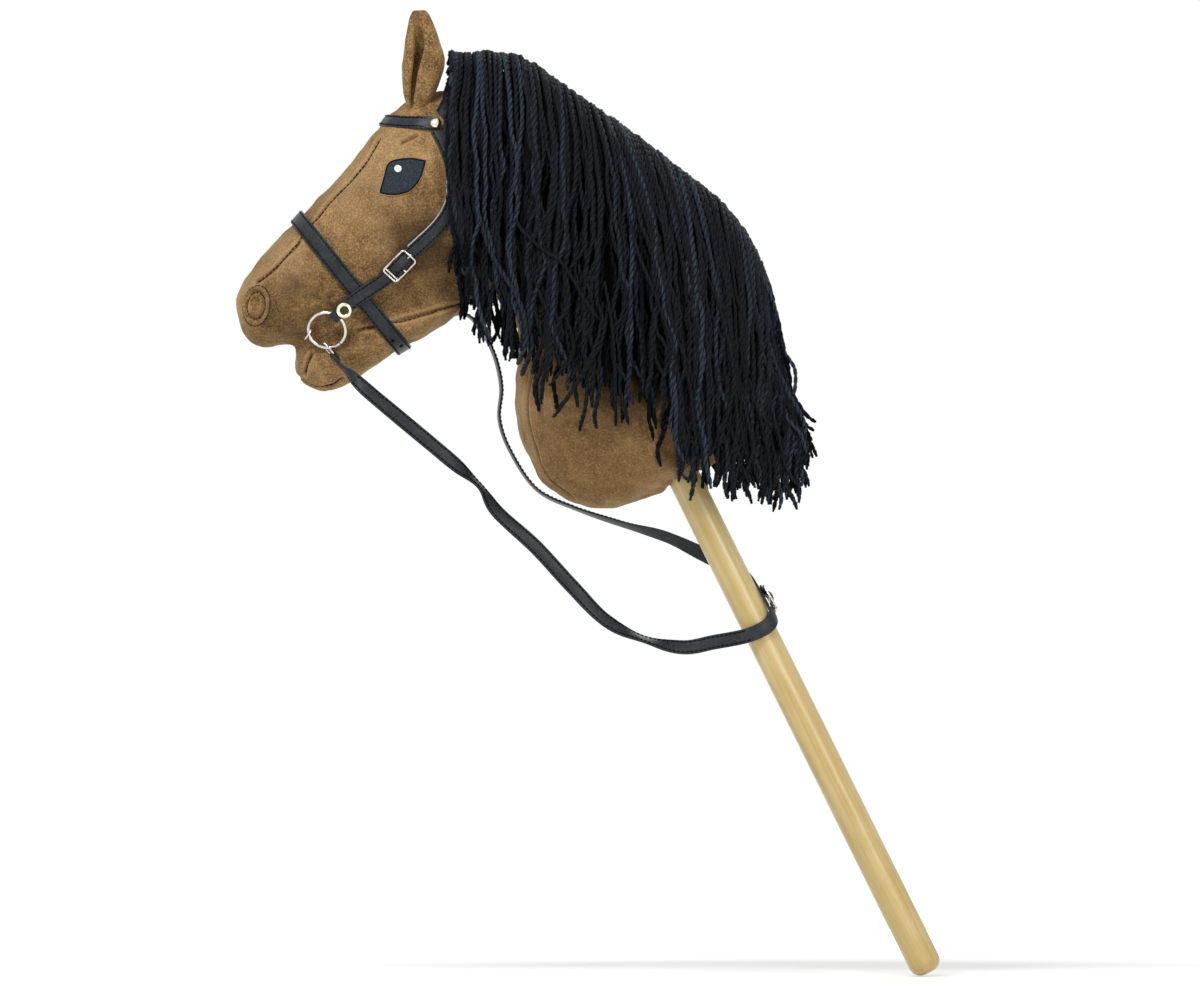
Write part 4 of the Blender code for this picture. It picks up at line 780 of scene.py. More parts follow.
# the ends of the mane, as (x, z)
maneTips = [
    (-0.2452, 0.2976), (-0.2312, 0.26), (-0.209, 0.24), (-0.186, 0.226), (-0.1752, 0.208), (-0.148, 0.196),
    (-0.1232, 0.182), (-0.0864, 0.172), (-0.072, 0.156), (-0.056, 0.14), (-0.0432, 0.1448), (-0.0272, 0.1256),
    (-0.016, 0.1384), (-0.004, 0.1256), (0.0104, 0.1272), (0.0216, 0.1328), (0.032, 0.156),
]
shadeNames = ("nap", "seam", "ridge", "strokedAndShaded", "paintedHighlight", "maneShade")
# where the velour is painted darker, partly for pile stroked the other way and partly as painted shade, and where it is
# painted paler as a painted highlight on lit edges and tops
# as (x, z, radius, amount)
strokesAndShade = [
    (-0.288, 0.336, 0.034, 0.76), (-0.266, 0.305, 0.034, 0.8), (-0.368, 0.298, 0.026, 0.5),
    (-0.386, 0.268, 0.026, 0.6), (-0.322, 0.288, 0.02, 0.34), (-0.345, 0.25, 0.022, 0.42), (-0.136, 0.22, 0.03, 0.4),
    (-0.122, 0.186, 0.026, 0.42),
]
# painted highlight: paler patches where light and sheen fall on the edges and tops
highlightPatches = [
    (-0.335, 0.372, 0.03, 0.36), (-0.3, 0.398, 0.026, 0.3), (-0.392, 0.326, 0.028, 0.3), (-0.424, 0.285, 0.016, 0.34),
    (-0.262, 0.262, 0.016, 0.16), (-0.366, 0.214, 0.018, 0.22), (-0.194, 0.2, 0.018, 0.3),
    (-0.088, 0.132, 0.016, 0.26),
]
# soft folds, as (x, z) at both ends, half width and depth
folds = [
    (-0.136, 0.226, -0.119, 0.195, 0.0050, 0.0022), (-0.070, 0.194, -0.058, 0.170, 0.0050, 0.0022),
    (-0.116, 0.151, -0.076, 0.134, 0.0055, 0.0024), (-0.094, 0.176, -0.066, 0.146, 0.0050, 0.0020),
    (-0.276, 0.378, -0.270, 0.371, 0.0018, 0.0014), (-0.392, 0.300, -0.378, 0.286, 0.0050, 0.0016),
]
mouthCorner = Vector((-0.356, 0.0, 0.28))  # the filling is drawn in here, in star-like folds
# the throat is drawn in under the jaw, from where to where along z and along x
throatPlan = dict(depth=0.015, z=((0.185, 0.262), (0.27, 0.29)), x=((-0.24, -0.228), (-0.222, -0.15)))


# a patch of painted shade or painted highlight, broken up by noise
def paintedPatch(point, patches, most):
    patchy = 0.75 + 0.5 * noise.noise(point * 45.0)
    total = 0.0
    for x, z, size, amount in patches:
        total += amount * math.exp(-(((point.x - x) ** 2 + (point.z - z) ** 2) / size**2))
    return min(most, patchy * total)


def stickPleats(point):
    # the hem is gathered round the stick
    fromExit = point - stickExit
    above = fromExit.dot(upStick)
    out = fromExit - upStick * above
    turn = math.atan2(out.y, out.dot(acrossStick))
    gather = (1.0 - ease(out.length, 0.018, 0.062)) * (1.0 - ease(above, 0.03, 0.09))
    pleat = math.sin(turn * 17.0 + 1.3 * math.sin(turn * 3.0)) + 0.5 * math.sin(turn * 29.0 + 1.0)
    return skinPlan["pleat"] * pleat * gather * ease(out.length, 0.012, 0.020)


def mouthStar(point):
    fromMouth = Vector((point.x - mouthCorner.x, 0.0, point.z - mouthCorner.z))
    star = math.cos(5.0 * math.atan2(fromMouth.z, fromMouth.x) + 0.6)
    deep = skinPlan["mouthFold"] * star * ease(fromMouth.length, 0.001, 0.006) - skinPlan["mouthDepth"]
    return bell(fromMouth.length, skinPlan["mouthReach"]) * deep


def foldDepth(point, x0, z0, x1, z1, half, deep):
    run = Vector((x1 - x0, z1 - z0))
    offset = Vector((point.x - x0, point.z - z0))
    t = min(1.0, max(0.0, offset.dot(run) / run.length_squared))
    beside = (offset - run * t).length
    return deep * math.sin(math.pi * (0.12 + 0.76 * t)) * (bell(beside, half) - 0.35 * bell(beside - half * 1.7, half))


def besideSeam(what, away):
    amount, distance, width = skinPlan[what]
    return amount * bell(away - distance, width)


def shadeUnderMane(point):
    # painted shade under the mane: how much of the mane lies over this place, less towards its ends
    word, side = bothSides[point.y > 0.0]
    hit = castSide(maneTrees[word], point.x, point.z, side)
    if not hit:
        return 0.0
    fromTips = min(math.hypot(point.x - x, point.z - z) for x, z in maneTips)
    return ease(hit[0].y * side - point.y * side, 0.001, 0.006) * ease(fromTips, 0.012, 0.045)


shades = {name: [] for name in shadeNames}
skinMesh.shade_smooth()
shape = bmesh.new()
shape.from_mesh(skinMesh)
shape.normal_update()
for vertex in shape.verts:
    point = vertex.co.copy()
    away = seamTree.find(point)[2]
    dent = -skinPlan["seamDepth"] * bell(away, skinPlan["seamWidth"])
    dent += besideSeam("fullness", away)
    dent += stickPleats(point)
    dent += sum(height * noise.noise(point * scale) for height, scale in skinPlan["lumps"])
    dent += mouthStar(point)
    for fold in folds:
        dent -= foldDepth(point, *fold)
    pinch = 1.0 - ease(strapTree.find_nearest(point)[3], *skinPlan["underStraps"])
    vertex.co = point + vertex.normal * (dent * (1.0 - pinch) - skinPlan["pressedIn"] * pinch)
    drawn = within(point.z, *throatPlan["z"]) * within(point.x, *throatPlan["x"])
    vertex.co.x += throatPlan["depth"] * drawn * (1.0 - pinch)
    here = (
        ease(point.x + skinPlan["napSlope"] * (skinPlan["napHeight"] - point.z), *skinPlan["napFrom"]),
        besideSeam("seamShade", away), besideSeam("ridgeHighlight", away),
        paintedPatch(point, strokesAndShade, skinPlan["mostStrokedAndShaded"]), paintedPatch(point, highlightPatches, skinPlan["mostHighlight"]),
        shadeUnderMane(point),
    )
    for name, value in zip(shadeNames, here):
        shades[name].append(value)
shape.to_mesh(skinMesh)
shape.free()
skinMesh.shade_smooth()
for name, values in shades.items():
    skinMesh.attributes.new(name, "FLOAT", "POINT").data.foreach_set("value", values)
skin = linked("plushSkin", skinMesh, velour, replaces=skinPlan["formed"])
skinTree = BVHTree.FromPolygons([v.co for v in skinMesh.vertices], [p.vertices[:] for p in skinMesh.polygons])
print("skin made:", len(skinMesh.polygons), "faces")

seamStitch = dict(pitch=0.0038, length=0.0026, bow=0.0005, thread=0.00055)
stitchLines = []
for seamName, line in seamLines:
    if seamName in skinPlan["sewn"]:
        points, normals = zip(*(skinTree.find_nearest(point)[:2] for point, normal in line))
        onSkin = list(zip(evened(points, 12), evened(normals, 12)))
        stitchLines += dashes(onSkin, seamStitch["pitch"], seamStitch["length"], seamStitch["bow"])
wirePiece("seamStitches", stitchLines, seamStitch["thread"], brownThread)


# ears: a folded leaf of plush, open to the side, its hinder edge lapping over the front one at the foot
earPlan = dict(
    # height, then the left and right outline and the left and right edge of the opening, all as (x, z) places
    rows=[
        (0.415, -0.2892, -0.2778, -0.285, -0.2845), (0.4264, -0.2872, -0.2758, -0.2846, -0.2838),
        (0.4328, -0.2896, -0.2736, -0.2872, -0.2852), (0.4408, -0.292, -0.2708, -0.2888, -0.2854),
        (0.4488, -0.2936, -0.2668, -0.2884, -0.2838), (0.4584, -0.2944, -0.2632, -0.2872, -0.2826),
        (0.4672, -0.2944, -0.2606, -0.2858, -0.2806), (0.4768, -0.293, -0.2604, -0.2852, -0.2776),
        (0.4856, -0.292, -0.2636, -0.2846, -0.2758), (0.4944, -0.2908, -0.2664, -0.2844, -0.2776),
        (0.5004, -0.2896, -0.2686, -0.2838, -0.2812), (0.507, -0.2878, -0.2712, -0.2822, -0.2806),
        (0.511, -0.2858, -0.2742, -0.2806, -0.2796), (0.5122, -0.2836, -0.2768, -0.2806, -0.2798),
    ],
    foot=0.022, footHeight=0.425, lean=math.tan(math.radians(6.0)), depth=0.62, lap=0.0016, wall=0.0042, columns=44,
    middle=(-0.277, 0.026), tufts=0.0005,
)
for word, side in bothSides:
    shape = bmesh.new()
    last = len(earPlan["rows"]) - 1
    low, high = earPlan["rows"][0][0], earPlan["rows"][-1][0]
    bmesh.ops.create_grid(shape, x_segments=earPlan["columns"], y_segments=last * 3, size=0.5)
    for vertex in shape.verts:
        z, left, right, openLeft, openRight = rowAt(earPlan["rows"], (vertex.co.y + 0.5) * last)
        middle, half = (left + right) / 2.0, (right - left) / 2.0
        start = math.asin(max(-1.0, min(1.0, (openRight - middle) / half)))
        end = math.asin(max(-1.0, min(1.0, (openLeft - middle) / half))) + math.tau
        turn = start + (end - start) * (vertex.co.x + 0.5)
        share = (z - low) / (high - low)
        deep = half * earPlan["depth"] * (1.0 - 0.80 * ease(share, 0.72, 1.0))
        lap = earPlan["lap"] * (1.0 - ease(share, 0.05, 0.5)) * (0.5 - vertex.co.x)
        middleY = earPlan["foot"] + (z - earPlan["footHeight"]) * earPlan["lean"]
        vertex.co = Vector((middle + half * math.sin(turn), side * (middleY + (deep + lap) * math.cos(turn)), z))
    bmesh.ops.recalc_face_normals(shape, faces=shape.faces)
    outside = 0.0
    for face in shape.faces:
        centre = face.calc_center_median()
        outside += face.normal.dot(centre - Vector((earPlan["middle"][0], side * earPlan["middle"][1], centre.z)))
    if outside < 0.0:
        bmesh.ops.reverse_faces(shape, faces=shape.faces)
    bmesh.ops.solidify(shape, geom=shape.faces[:], thickness=earPlan["wall"])
    bmesh.ops.remove_doubles(shape, verts=shape.verts, dist=0.00003)
    for _ in range(2):
        bmesh.ops.smooth_vert(shape, verts=shape.verts, factor=0.4, use_axis_x=True, use_axis_y=True, use_axis_z=True)
    shape.normal_update()
    for vertex in shape.verts:
        vertex.co += vertex.normal * earPlan["tufts"] * noise.noise(vertex.co * 120.0)
    name = f"ear_{word}_plush"
    made = linked(name, meshOf(name, shape, sharp=180.0), earVelour, replaces=(f"ear_{word}",))
    soft = made.modifiers.new("soft", "SUBSURF")
    soft.levels = soft.render_levels = 1
print("ears made")


# eyes and nostrils, sewn on the skin
eyePlan = dict(
    middle=(-0.2932, 0.3784), height=0.0014, edgeDrop=0.0006,
    light=(-0.2968, 0.3848), lightRadius=0.0029, lightHeight=0.0020,
    outline=[
        (0.018, 0.0128), (0.0066, 0.0146), (-0.0028, 0.0138), (-0.0092, 0.0118), (-0.0122, 0.0082), (-0.0142, 0.0014),
        (-0.0162, -0.006), (-0.018, -0.0128), (-0.0108, -0.014), (-0.0028, -0.0136), (0.006, -0.0104),
        (0.0124, -0.0034), (0.016, 0.0046),
    ],
    # the lines round it, as (name, thread radius, height, share of the outline, finish, slot)
    lines=(
        ("rim", 0.0007, 0.0010, 0.99, blackThread, "black_felt"),
        ("edge", 0.0005, 0.0005, 1.05, tanThread, "brown_plush"),
    ),
    # the row of stitches, as (height, share of the outline, pitch, length)
    rows=((0.001, 0.99, 0.0015, 0.001),), bow=0.0007, thread=0.0003,
)
nostrilPlan = dict(
    middle=(-0.4100, 0.2760), length=0.032, height=0.021, slant=math.radians(80.0), base=0.0008, fall=0.0016,
    # two padded rings, as (height, share of the outline, width)
    puffs=((0.0032, 0.84, 0.085), (0.0026, 0.46, 0.11)),
    # two rows of stitches, as (height, share of the outline, pitch, length)
    rows=((0.0006, 1.01, 0.003, 0.0021), (0.0012, 0.66, 0.0028, 0.0019)), bow=0.0004, thread=0.0003,
)


def sewnPatch(name, middle, outline, side, height, finish, slot, replaces, rings=14):
    # a disc laid on the skin, its height a function of how far out it is, from 0 to 1
    shape = bmesh.new()
    around = len(outline)
    bmesh.ops.create_grid(shape, x_segments=rings, y_segments=around, size=0.5)
    for vertex in shape.verts:
        share = 1.0 - (vertex.co.x + 0.5)
        x, z = outline[round((vertex.co.y + 0.5) * around) % around]
        hit = castSide(skinTree, middle[0] + x * share, middle[1] + z * share, side)
        vertex.co = hit[0] + hit[1].lerp(Vector((0.0, side, 0.0)), 0.3).normalized() * height(share)
    bmesh.ops.remove_doubles(shape, verts=shape.verts, dist=0.00004)
    bmesh.ops.recalc_face_normals(shape, faces=shape.faces)
    if sum(face.normal.y for face in shape.faces) * side < 0.0:
        bmesh.ops.reverse_faces(shape, faces=shape.faces)
    made = linked(name, meshOf(name, shape), finish, replaces=replaces)
    wall = made.modifiers.new("wall", "SOLIDIFY")
    wall.thickness = 0.0012
    wall.offset = -1.0


def roundOutline(length, height, slant, count):
    made = []
    for k in range(count):
        x, z = length / 2.0 * math.cos(math.tau * k / count), height / 2.0 * math.sin(math.tau * k / count)
        made.append((x * math.cos(slant) - z * math.sin(slant), x * math.sin(slant) + z * math.cos(slant)))
    return made


def seatedLine(middle, outline, side, lift, share=1.0):
    hits = [castSide(skinTree, middle[0] + x * share, middle[1] + z * share, side) for x, z in outline]
    line = [(point + normal * lift, normal) for point, normal in hits]
    return line + line[:1]


def sewnRound(name, plan, outline, side):
    sewn = []
    for lift, share, pitch, length in plan["rows"]:
        sewn += dashes(seatedLine(plan["middle"], outline, side, lift, share), pitch, length, plan["bow"])
    wirePiece(name, sewn, plan["thread"], brownThread)


def eyeHeight(share):
    return eyePlan["height"] - eyePlan["edgeDrop"] * ease(share, 0.9, 1.0)


def lightHeight(share):
    return eyePlan["lightHeight"] + 0.0004 * (1.0 - share**2)


def nostrilHeight(share):
    outer, inner = (high * bell(share - at, width) for high, at, width in nostrilPlan["puffs"])
    return nostrilPlan["base"] + outer + inner - nostrilPlan["fall"] * ease(share, 0.93, 1.0)


corners = [Vector((x, 0.0, z)) for x, z in eyePlan["outline"]]
# the two corners stay sharp and the arcs between them run smooth
fineEye = smoothLine(corners[:8], 0.0008)[:-1] + smoothLine(corners[7:] + corners[:1], 0.0008)[:-1]
eyeOutline = [(point.x, point.z) for point in fineEye]
eyeLight = roundOutline(eyePlan["lightRadius"] * 2.0, eyePlan["lightRadius"] * 2.0, 0.0, 28)
nostrilRound = roundOutline(nostrilPlan["length"], nostrilPlan["height"], nostrilPlan["slant"], 56)
for word, side in bothSides:
    at = eyePlan["middle"]
    sewnPatch(f"eye_{word}_felt", at, eyeOutline, side, eyeHeight, eyeFelt, "black_felt", (f"eye_{word}",))
    for part, wire, lift, share, finish, slot in eyePlan["lines"]:
        line = [point for point, normal in seatedLine(at, eyeOutline, side, lift, share)[:-1]]
        wirePiece(f"eye_{word}_{part}", [line], wire, finish, 2, cyclic=True)
    sewnRound(f"eye_{word}_stitches", eyePlan, eyeOutline, side)
    light = (f"eye_{word}_light", eyePlan["light"], eyeLight, side, lightHeight, whiteFelt, "white_felt")
    sewnPatch(*light, (f"eye_light_{word}",), rings=6)
    at = nostrilPlan["middle"]
    nostril = (f"nostril_{word}_plush", at, nostrilRound, side, nostrilHeight, earVelour, "brown_plush")
    sewnPatch(*nostril, (f"nostril_{word}",), rings=26)
    sewnRound(f"nostril_{word}_stitches", nostrilPlan, nostrilRound, side)
print("eyes and nostrils made")


# bridle straps: each lies where its CAD strap does, with rolled edges, stitching and holes
bandPlan = {
    "browband": dict(first=(-0.3125, 0.4245), second=(-0.2665, 0.4195), width=0.0112, closed=False),
    "noseband": dict(first=(-0.3796, 0.3484), second=(-0.296, 0.2448), width=0.0132, closed=True),
    "crown_strap": dict(first=(-0.25, 0.452), second=(-0.2665, 0.4195), width=0.0118, closed=False),
    "throatlatch": dict(first=(-0.224, 0.43), second=(-0.242, 0.268), width=0.008, closed=True),
}
strapPlan = dict(thickness=0.0015, step=0.0016)


def spaced(pairs, step, closed):
    # (point, across) pairs at even steps
    made = [pairs[0]]
    for pair in pairs[1:]:
        if (pair[0] - made[-1][0]).length >= step:
            made.append(pair)
    if closed and (made[-1][0] - made[0][0]).length < step * 0.6:
        made.pop()
    return made


def framed(pairs, outward, closed, rounds=3):
    # the outer face's middle line and its normals
    middles = evened([pair[0] for pair in pairs], rounds, closed)
    asides = evened([pair[1] for pair in pairs], rounds, closed)
    normals = []
    for k, middle in enumerate(middles):
        normal = wayAt(middles, k, closed).cross(asides[k]).normalized()
        normals.append(normal if normal.dot(outward(middle)) > 0.0 else -normal)
    return middles, normals


def bandLine(name, first, second, width, closed):
    tree = treeOf(name)
    first = Vector((first[0], 0.0, first[1]))
    second = Vector((second[0], 0.0, second[1]))
    centre = (first + second) / 2.0
    ahead = (first - second).normalized()
    beside = sideways.cross(ahead)
    pairs = []
    for k in range(720):
        turn = math.tau * (k / 720.0 - 0.5)
        outward = ahead * math.cos(turn) + sideways * math.sin(turn)
        starts = (centre + outward * 0.3 + beside * width * share / 24.0 for share in range(-16, 17))
        hits = [tree.ray_cast(start, -outward)[0] for start in starts]
        hits = [hit for hit in hits if hit and (hit - centre).dot(outward) > 0.0]
        if hits and (hits[-1] - hits[0]).length > width * 0.6:
            pairs.append(((hits[0] + hits[-1]) / 2.0, (hits[-1] - hits[0]).normalized()))
    pairs = spaced(pairs, strapPlan["step"], closed)
    return framed(pairs, lambda point: point - centre, closed)


sewing = []
for name, plan in bandPlan.items():
    middles, normals = bandLine(name, plan["first"], plan["second"], plan["width"], plan["closed"])
    rows = [(middle, normal, plan["width"]) for middle, normal in zip(middles, normals)]
    strapPiece(name, rows, strapPlan["thickness"], plan["closed"], (name,))
    sewing += sewnEdges(rows, plan["closed"])
    if name == "browband":
        browRows = rows
    print(name, len(rows), "sections")

cheekPlan = dict(
    route=[
        (-0.2659, 0.417), (-0.258, 0.401), (-0.2525, 0.38), (-0.2535, 0.358), (-0.264, 0.3395), (-0.2846, 0.3195),
        (-0.296, 0.3083), (-0.3074, 0.2971), (-0.3272, 0.2836), (-0.34, 0.2738), (-0.3438, 0.2711), (-0.3455, 0.2687),
    ],
    width=0.0118, step=0.0013, feelers=(-0.003, 0.003), rivet=(-0.34, 0.2738), loopWidth=0.009, loopSlack=0.0008,
    narrowing=(0.002, 0.0095), backGap=0.0002, pipedFrom=-0.286, pipedBelow=0.38, piping=0.00055,
)
browEnd = dict(behind=-0.2765, lift=0.0011, width=0.0108, thickness=0.0012)
ringPlan = dict(diameter=0.030, wire=0.0027, buttGap=0.0008, buttSeat=math.radians(-48.0))


def ringAt(word):
    joint = joints[f"bit_ring_spin_{word}"]
    return Vector(joint["pos_m"]), Vector(joint["axis"]).normalized()


for word, side in bothSides:
    name = f"cheek_strap_{word}"
    tree = treeOf(name)
    route = flatLine(cheekPlan["route"], 0.0008)
    pairs = []
    for k, point in enumerate(route):
        beside = sideways.cross(wayAt(route, k).normalized())
        ends = [castSide(tree, *(point + beside * offset).xz, side) for offset in cheekPlan["feelers"]]
        if None not in ends:
            pairs.append(((ends[0][0] + ends[1][0]) / 2.0, (ends[1][0] - ends[0][0]).normalized()))
    pairs = spaced(pairs, cheekPlan["step"], False)
    middles, normals = framed(pairs, lambda point: Vector((0.0, side, 0.0)), False, 2)
    centre, axis = ringAt(word)
    wirePoint = centre + square(middles[-1] - centre, axis) * ringPlan["diameter"] / 2.0
    radial = middles[-1] - wirePoint
    reach = radial.length
    radial.normalize()
    tangent = square(middles[-1] - middles[-4], radial)
    rivetAt = Vector((cheekPlan["rivet"][0], 0.0, cheekPlan["rivet"][1]))
    toRivet = [(Vector((middle.x, 0.0, middle.z)) - rivetAt).length for middle in middles]
    atRivet = toRivet.index(min(toRivet))
    rows = []
    for k, (middle, normal) in enumerate(zip(middles, normals)):
        past = (middle - middles[atRivet]).length * (1.0 if k > atRivet else -1.0)
        narrower = (cheekPlan["width"] - cheekPlan["loopWidth"]) * ease(past, *cheekPlan["narrowing"])
        rows.append((middle, normal, cheekPlan["width"] - narrower))
    piped = [(middle, normal, cheekPlan["width"]) for middle, normal, width in rows[: atRivet - 2]]
    under = [castSide(formTree, middle.x, middle.z, side) for middle in middles[atRivet - 2 : -2]]
    # round the ring's wire and back under itself
    for step in range(1, 13):
        turn = math.pi * step / 12
        out = radial * math.cos(turn) + tangent * math.sin(turn)
        middle = wirePoint + tangent * cheekPlan["loopSlack"] * math.sin(turn) + out * reach
        rows.append((middle, out, cheekPlan["loopWidth"]))
    for hit in reversed(under):
        if hit and (hit[0] - rows[-1][0]).length > 0.0012:
            rows.append((hit[0] + hit[1] * cheekPlan["backGap"], -hit[1], cheekPlan["loopWidth"]))
    strapPiece(name, rows, strapPlan["thickness"], replaces=(name,))
    sewing += sewnEdges(piped)
    pipedMiddles = [row[0] for row in piped]
    edge = []
    for k, (middle, normal, width) in enumerate(piped):
        aside = normal.cross(wayAt(pipedMiddles, k)).normalized()
        aside = aside if aside.x < 0.0 else -aside
        if cheekPlan["pipedFrom"] < middle.x and middle.z < cheekPlan["pipedBelow"]:
            edge.append(middle + aside * (width / 2.0 + 0.0001) - normal * 0.0004)
    wirePiece(f"cheek_edge_{word}", [edge], cheekPlan["piping"], pipingEdge, 2)

# the browband's sewn ends, a second layer of strap over the first
for word, side in bothSides:
    picked = [row for row in browRows if row[0].y * side > 0.0 and row[0].x > browEnd["behind"]]
    if side > 0.0:
        picked.reverse()
    folded = [(middle + normal * browEnd["lift"], normal, browEnd["width"]) for middle, normal, width in picked]
    strapPiece(f"browband_end_{word}", folded, browEnd["thickness"])
wirePiece("strapStitches", sewing, stitchPlan["thread"], blackThread, caps=False)

# holes, as dark discs with a rim pressed a little into the strap, painted shade standing for each punched hole, at (x,
# z)
holePlan = dict(
    radius=0.0011, rim=0.0004, rise=0.00022, rimRise=0.00016, sink=0.0003, seat=0.0002, steps=20,
    places={"noseband": [(-0.3016, 0.248), (-0.2948, 0.244)], "cheek_strap": [(-0.299, 0.3025)]},
)
inner, outer = holePlan["radius"], holePlan["radius"] + holePlan["rim"]
holeProfile = [(0.0, 0.0), (inner * 0.9, 0.0), (inner, holePlan["rise"])]
holeProfile += [(outer, holePlan["rimRise"]), (outer, -holePlan["sink"])]
for word, side in bothSides:
    for name, places in holePlan["places"].items():
        tree = treeOf(name if name == "noseband" else f"{name}_{word}")
        for index, (x, z) in enumerate(places):
            hit = castSide(tree, x, z, side)
            if hit:
                place = placeOf(hit[0] + hit[1] * holePlan["seat"], Vector((1.0, 0.0, 0.0)), hit[1])
                hole = f"{name}_hole_{word}_{index}"
                turnedPiece(hole, holeProfile, place, holePlan["steps"], blackThread)
print("straps made")


# metal: rings, bit, links, buckles, prongs, rivets and studs
bucklePlan = dict(
    length=0.0253, reinLength=0.0215, wire=0.0017, corner=0.0022, play=0.0005, twinSpacing=0.0026, prongWire=0.0013,
    prongLength=0.0056, hookFrom=-45.0, hookTurn=-225.0, hookPlay=0.0001, above=0.0006, reinTop=0.0038, clear=0.0003,
    # the prong's bow, as (share of its length, height)
    bow=((0.35, 0.0006), (0.7, 0.0003)),
)
bitPlan = dict(
    barDiameter=0.003, eyeDiameter=0.0098, eyeWire=0.0018, eyeLean=math.radians(56.0), near=(-0.3684, -0.03043, 0.2536)
)
linkPlan = dict(length=0.0120, width=0.0064, wire=0.0015, corner=0.0014)
reinEndPlan = dict(length=0.0075, narrow=0.0043, wide=0.0074)


def roundedRectangle(length, width, corner, steps=6):
    made = []
    for quarter, (x, y) in enumerate(((1, 1), (-1, 1), (-1, -1), (1, -1))):
        for step in range(steps + 1):
            turn = math.pi / 2.0 * (quarter + step / steps)
            outX, outY = corner * math.cos(turn), corner * math.sin(turn)
            made.append((x * (length / 2.0 - corner) + outX, y * (width / 2.0 - corner) + outY))
    return made


def metalPiece(name, meshes, body=mainBody, replaces=()):
    joined = bmesh.new()
    for mesh in meshes:
        joined.from_mesh(mesh)
    linked(f"{name}_steel", meshOf(name, joined, sharp=45.0), nickel, body, replaces)


def buckleAndProng(place, strapWidth, length, strapTop, frameName, prongName, prongBody):
    wire = bucklePlan["wire"]
    width = strapWidth + 2.0 * (bucklePlan["play"] + wire)
    height = strapTop + bucklePlan["clear"] + wire / 2.0
    corners = roundedRectangle(length - wire, width - wire, bucklePlan["corner"])
    outline = [place @ Vector((x, y, height)) for x, y in corners]
    reach = width / 2.0 - wire / 2.0
    across = (0.0, length / 2.0 - wire / 2.0 - bucklePlan["twinSpacing"])
    bars = [[place @ Vector((x, y, height)) for y in (-reach, reach)] for x in across]
    meshes = (wireMesh("frame", [outline], wire / 2.0, 4, cyclic=True), wireMesh("bars", bars, wire * 0.47, 4))
    metalPiece(frameName, meshes, replaces=(frameName,))
    # the prong hooks round the frame's bar and comes to rest on the strap
    bar = Vector((-(length - wire) / 2.0, 0.0, height))
    radius = wire / 2.0 + bucklePlan["hookPlay"] + bucklePlan["prongWire"] / 2.0
    turns = [math.radians(bucklePlan["hookFrom"] + bucklePlan["hookTurn"] * k / 18) for k in range(19)]
    hook = [bar + Vector((radius * math.cos(turn), 0.0, radius * math.sin(turn))) for turn in turns]
    tip = bar + Vector((bucklePlan["prongLength"], 0.0, 0.0))
    tip.z = strapTop - strapPlan["thickness"] * 0.5
    bowed = [hook[-1].lerp(tip, share) + Vector((0.0, 0.0, rise)) for share, rise in bucklePlan["bow"]]
    line = hook[:18] + smoothLine([hook[-1], *bowed, tip], 0.0006)
    prong = wireMesh("prong", [[place @ point for point in line]], bucklePlan["prongWire"] / 2.0, 4)
    metalPiece(prongName, (prong,), prongBody, (prongName,))


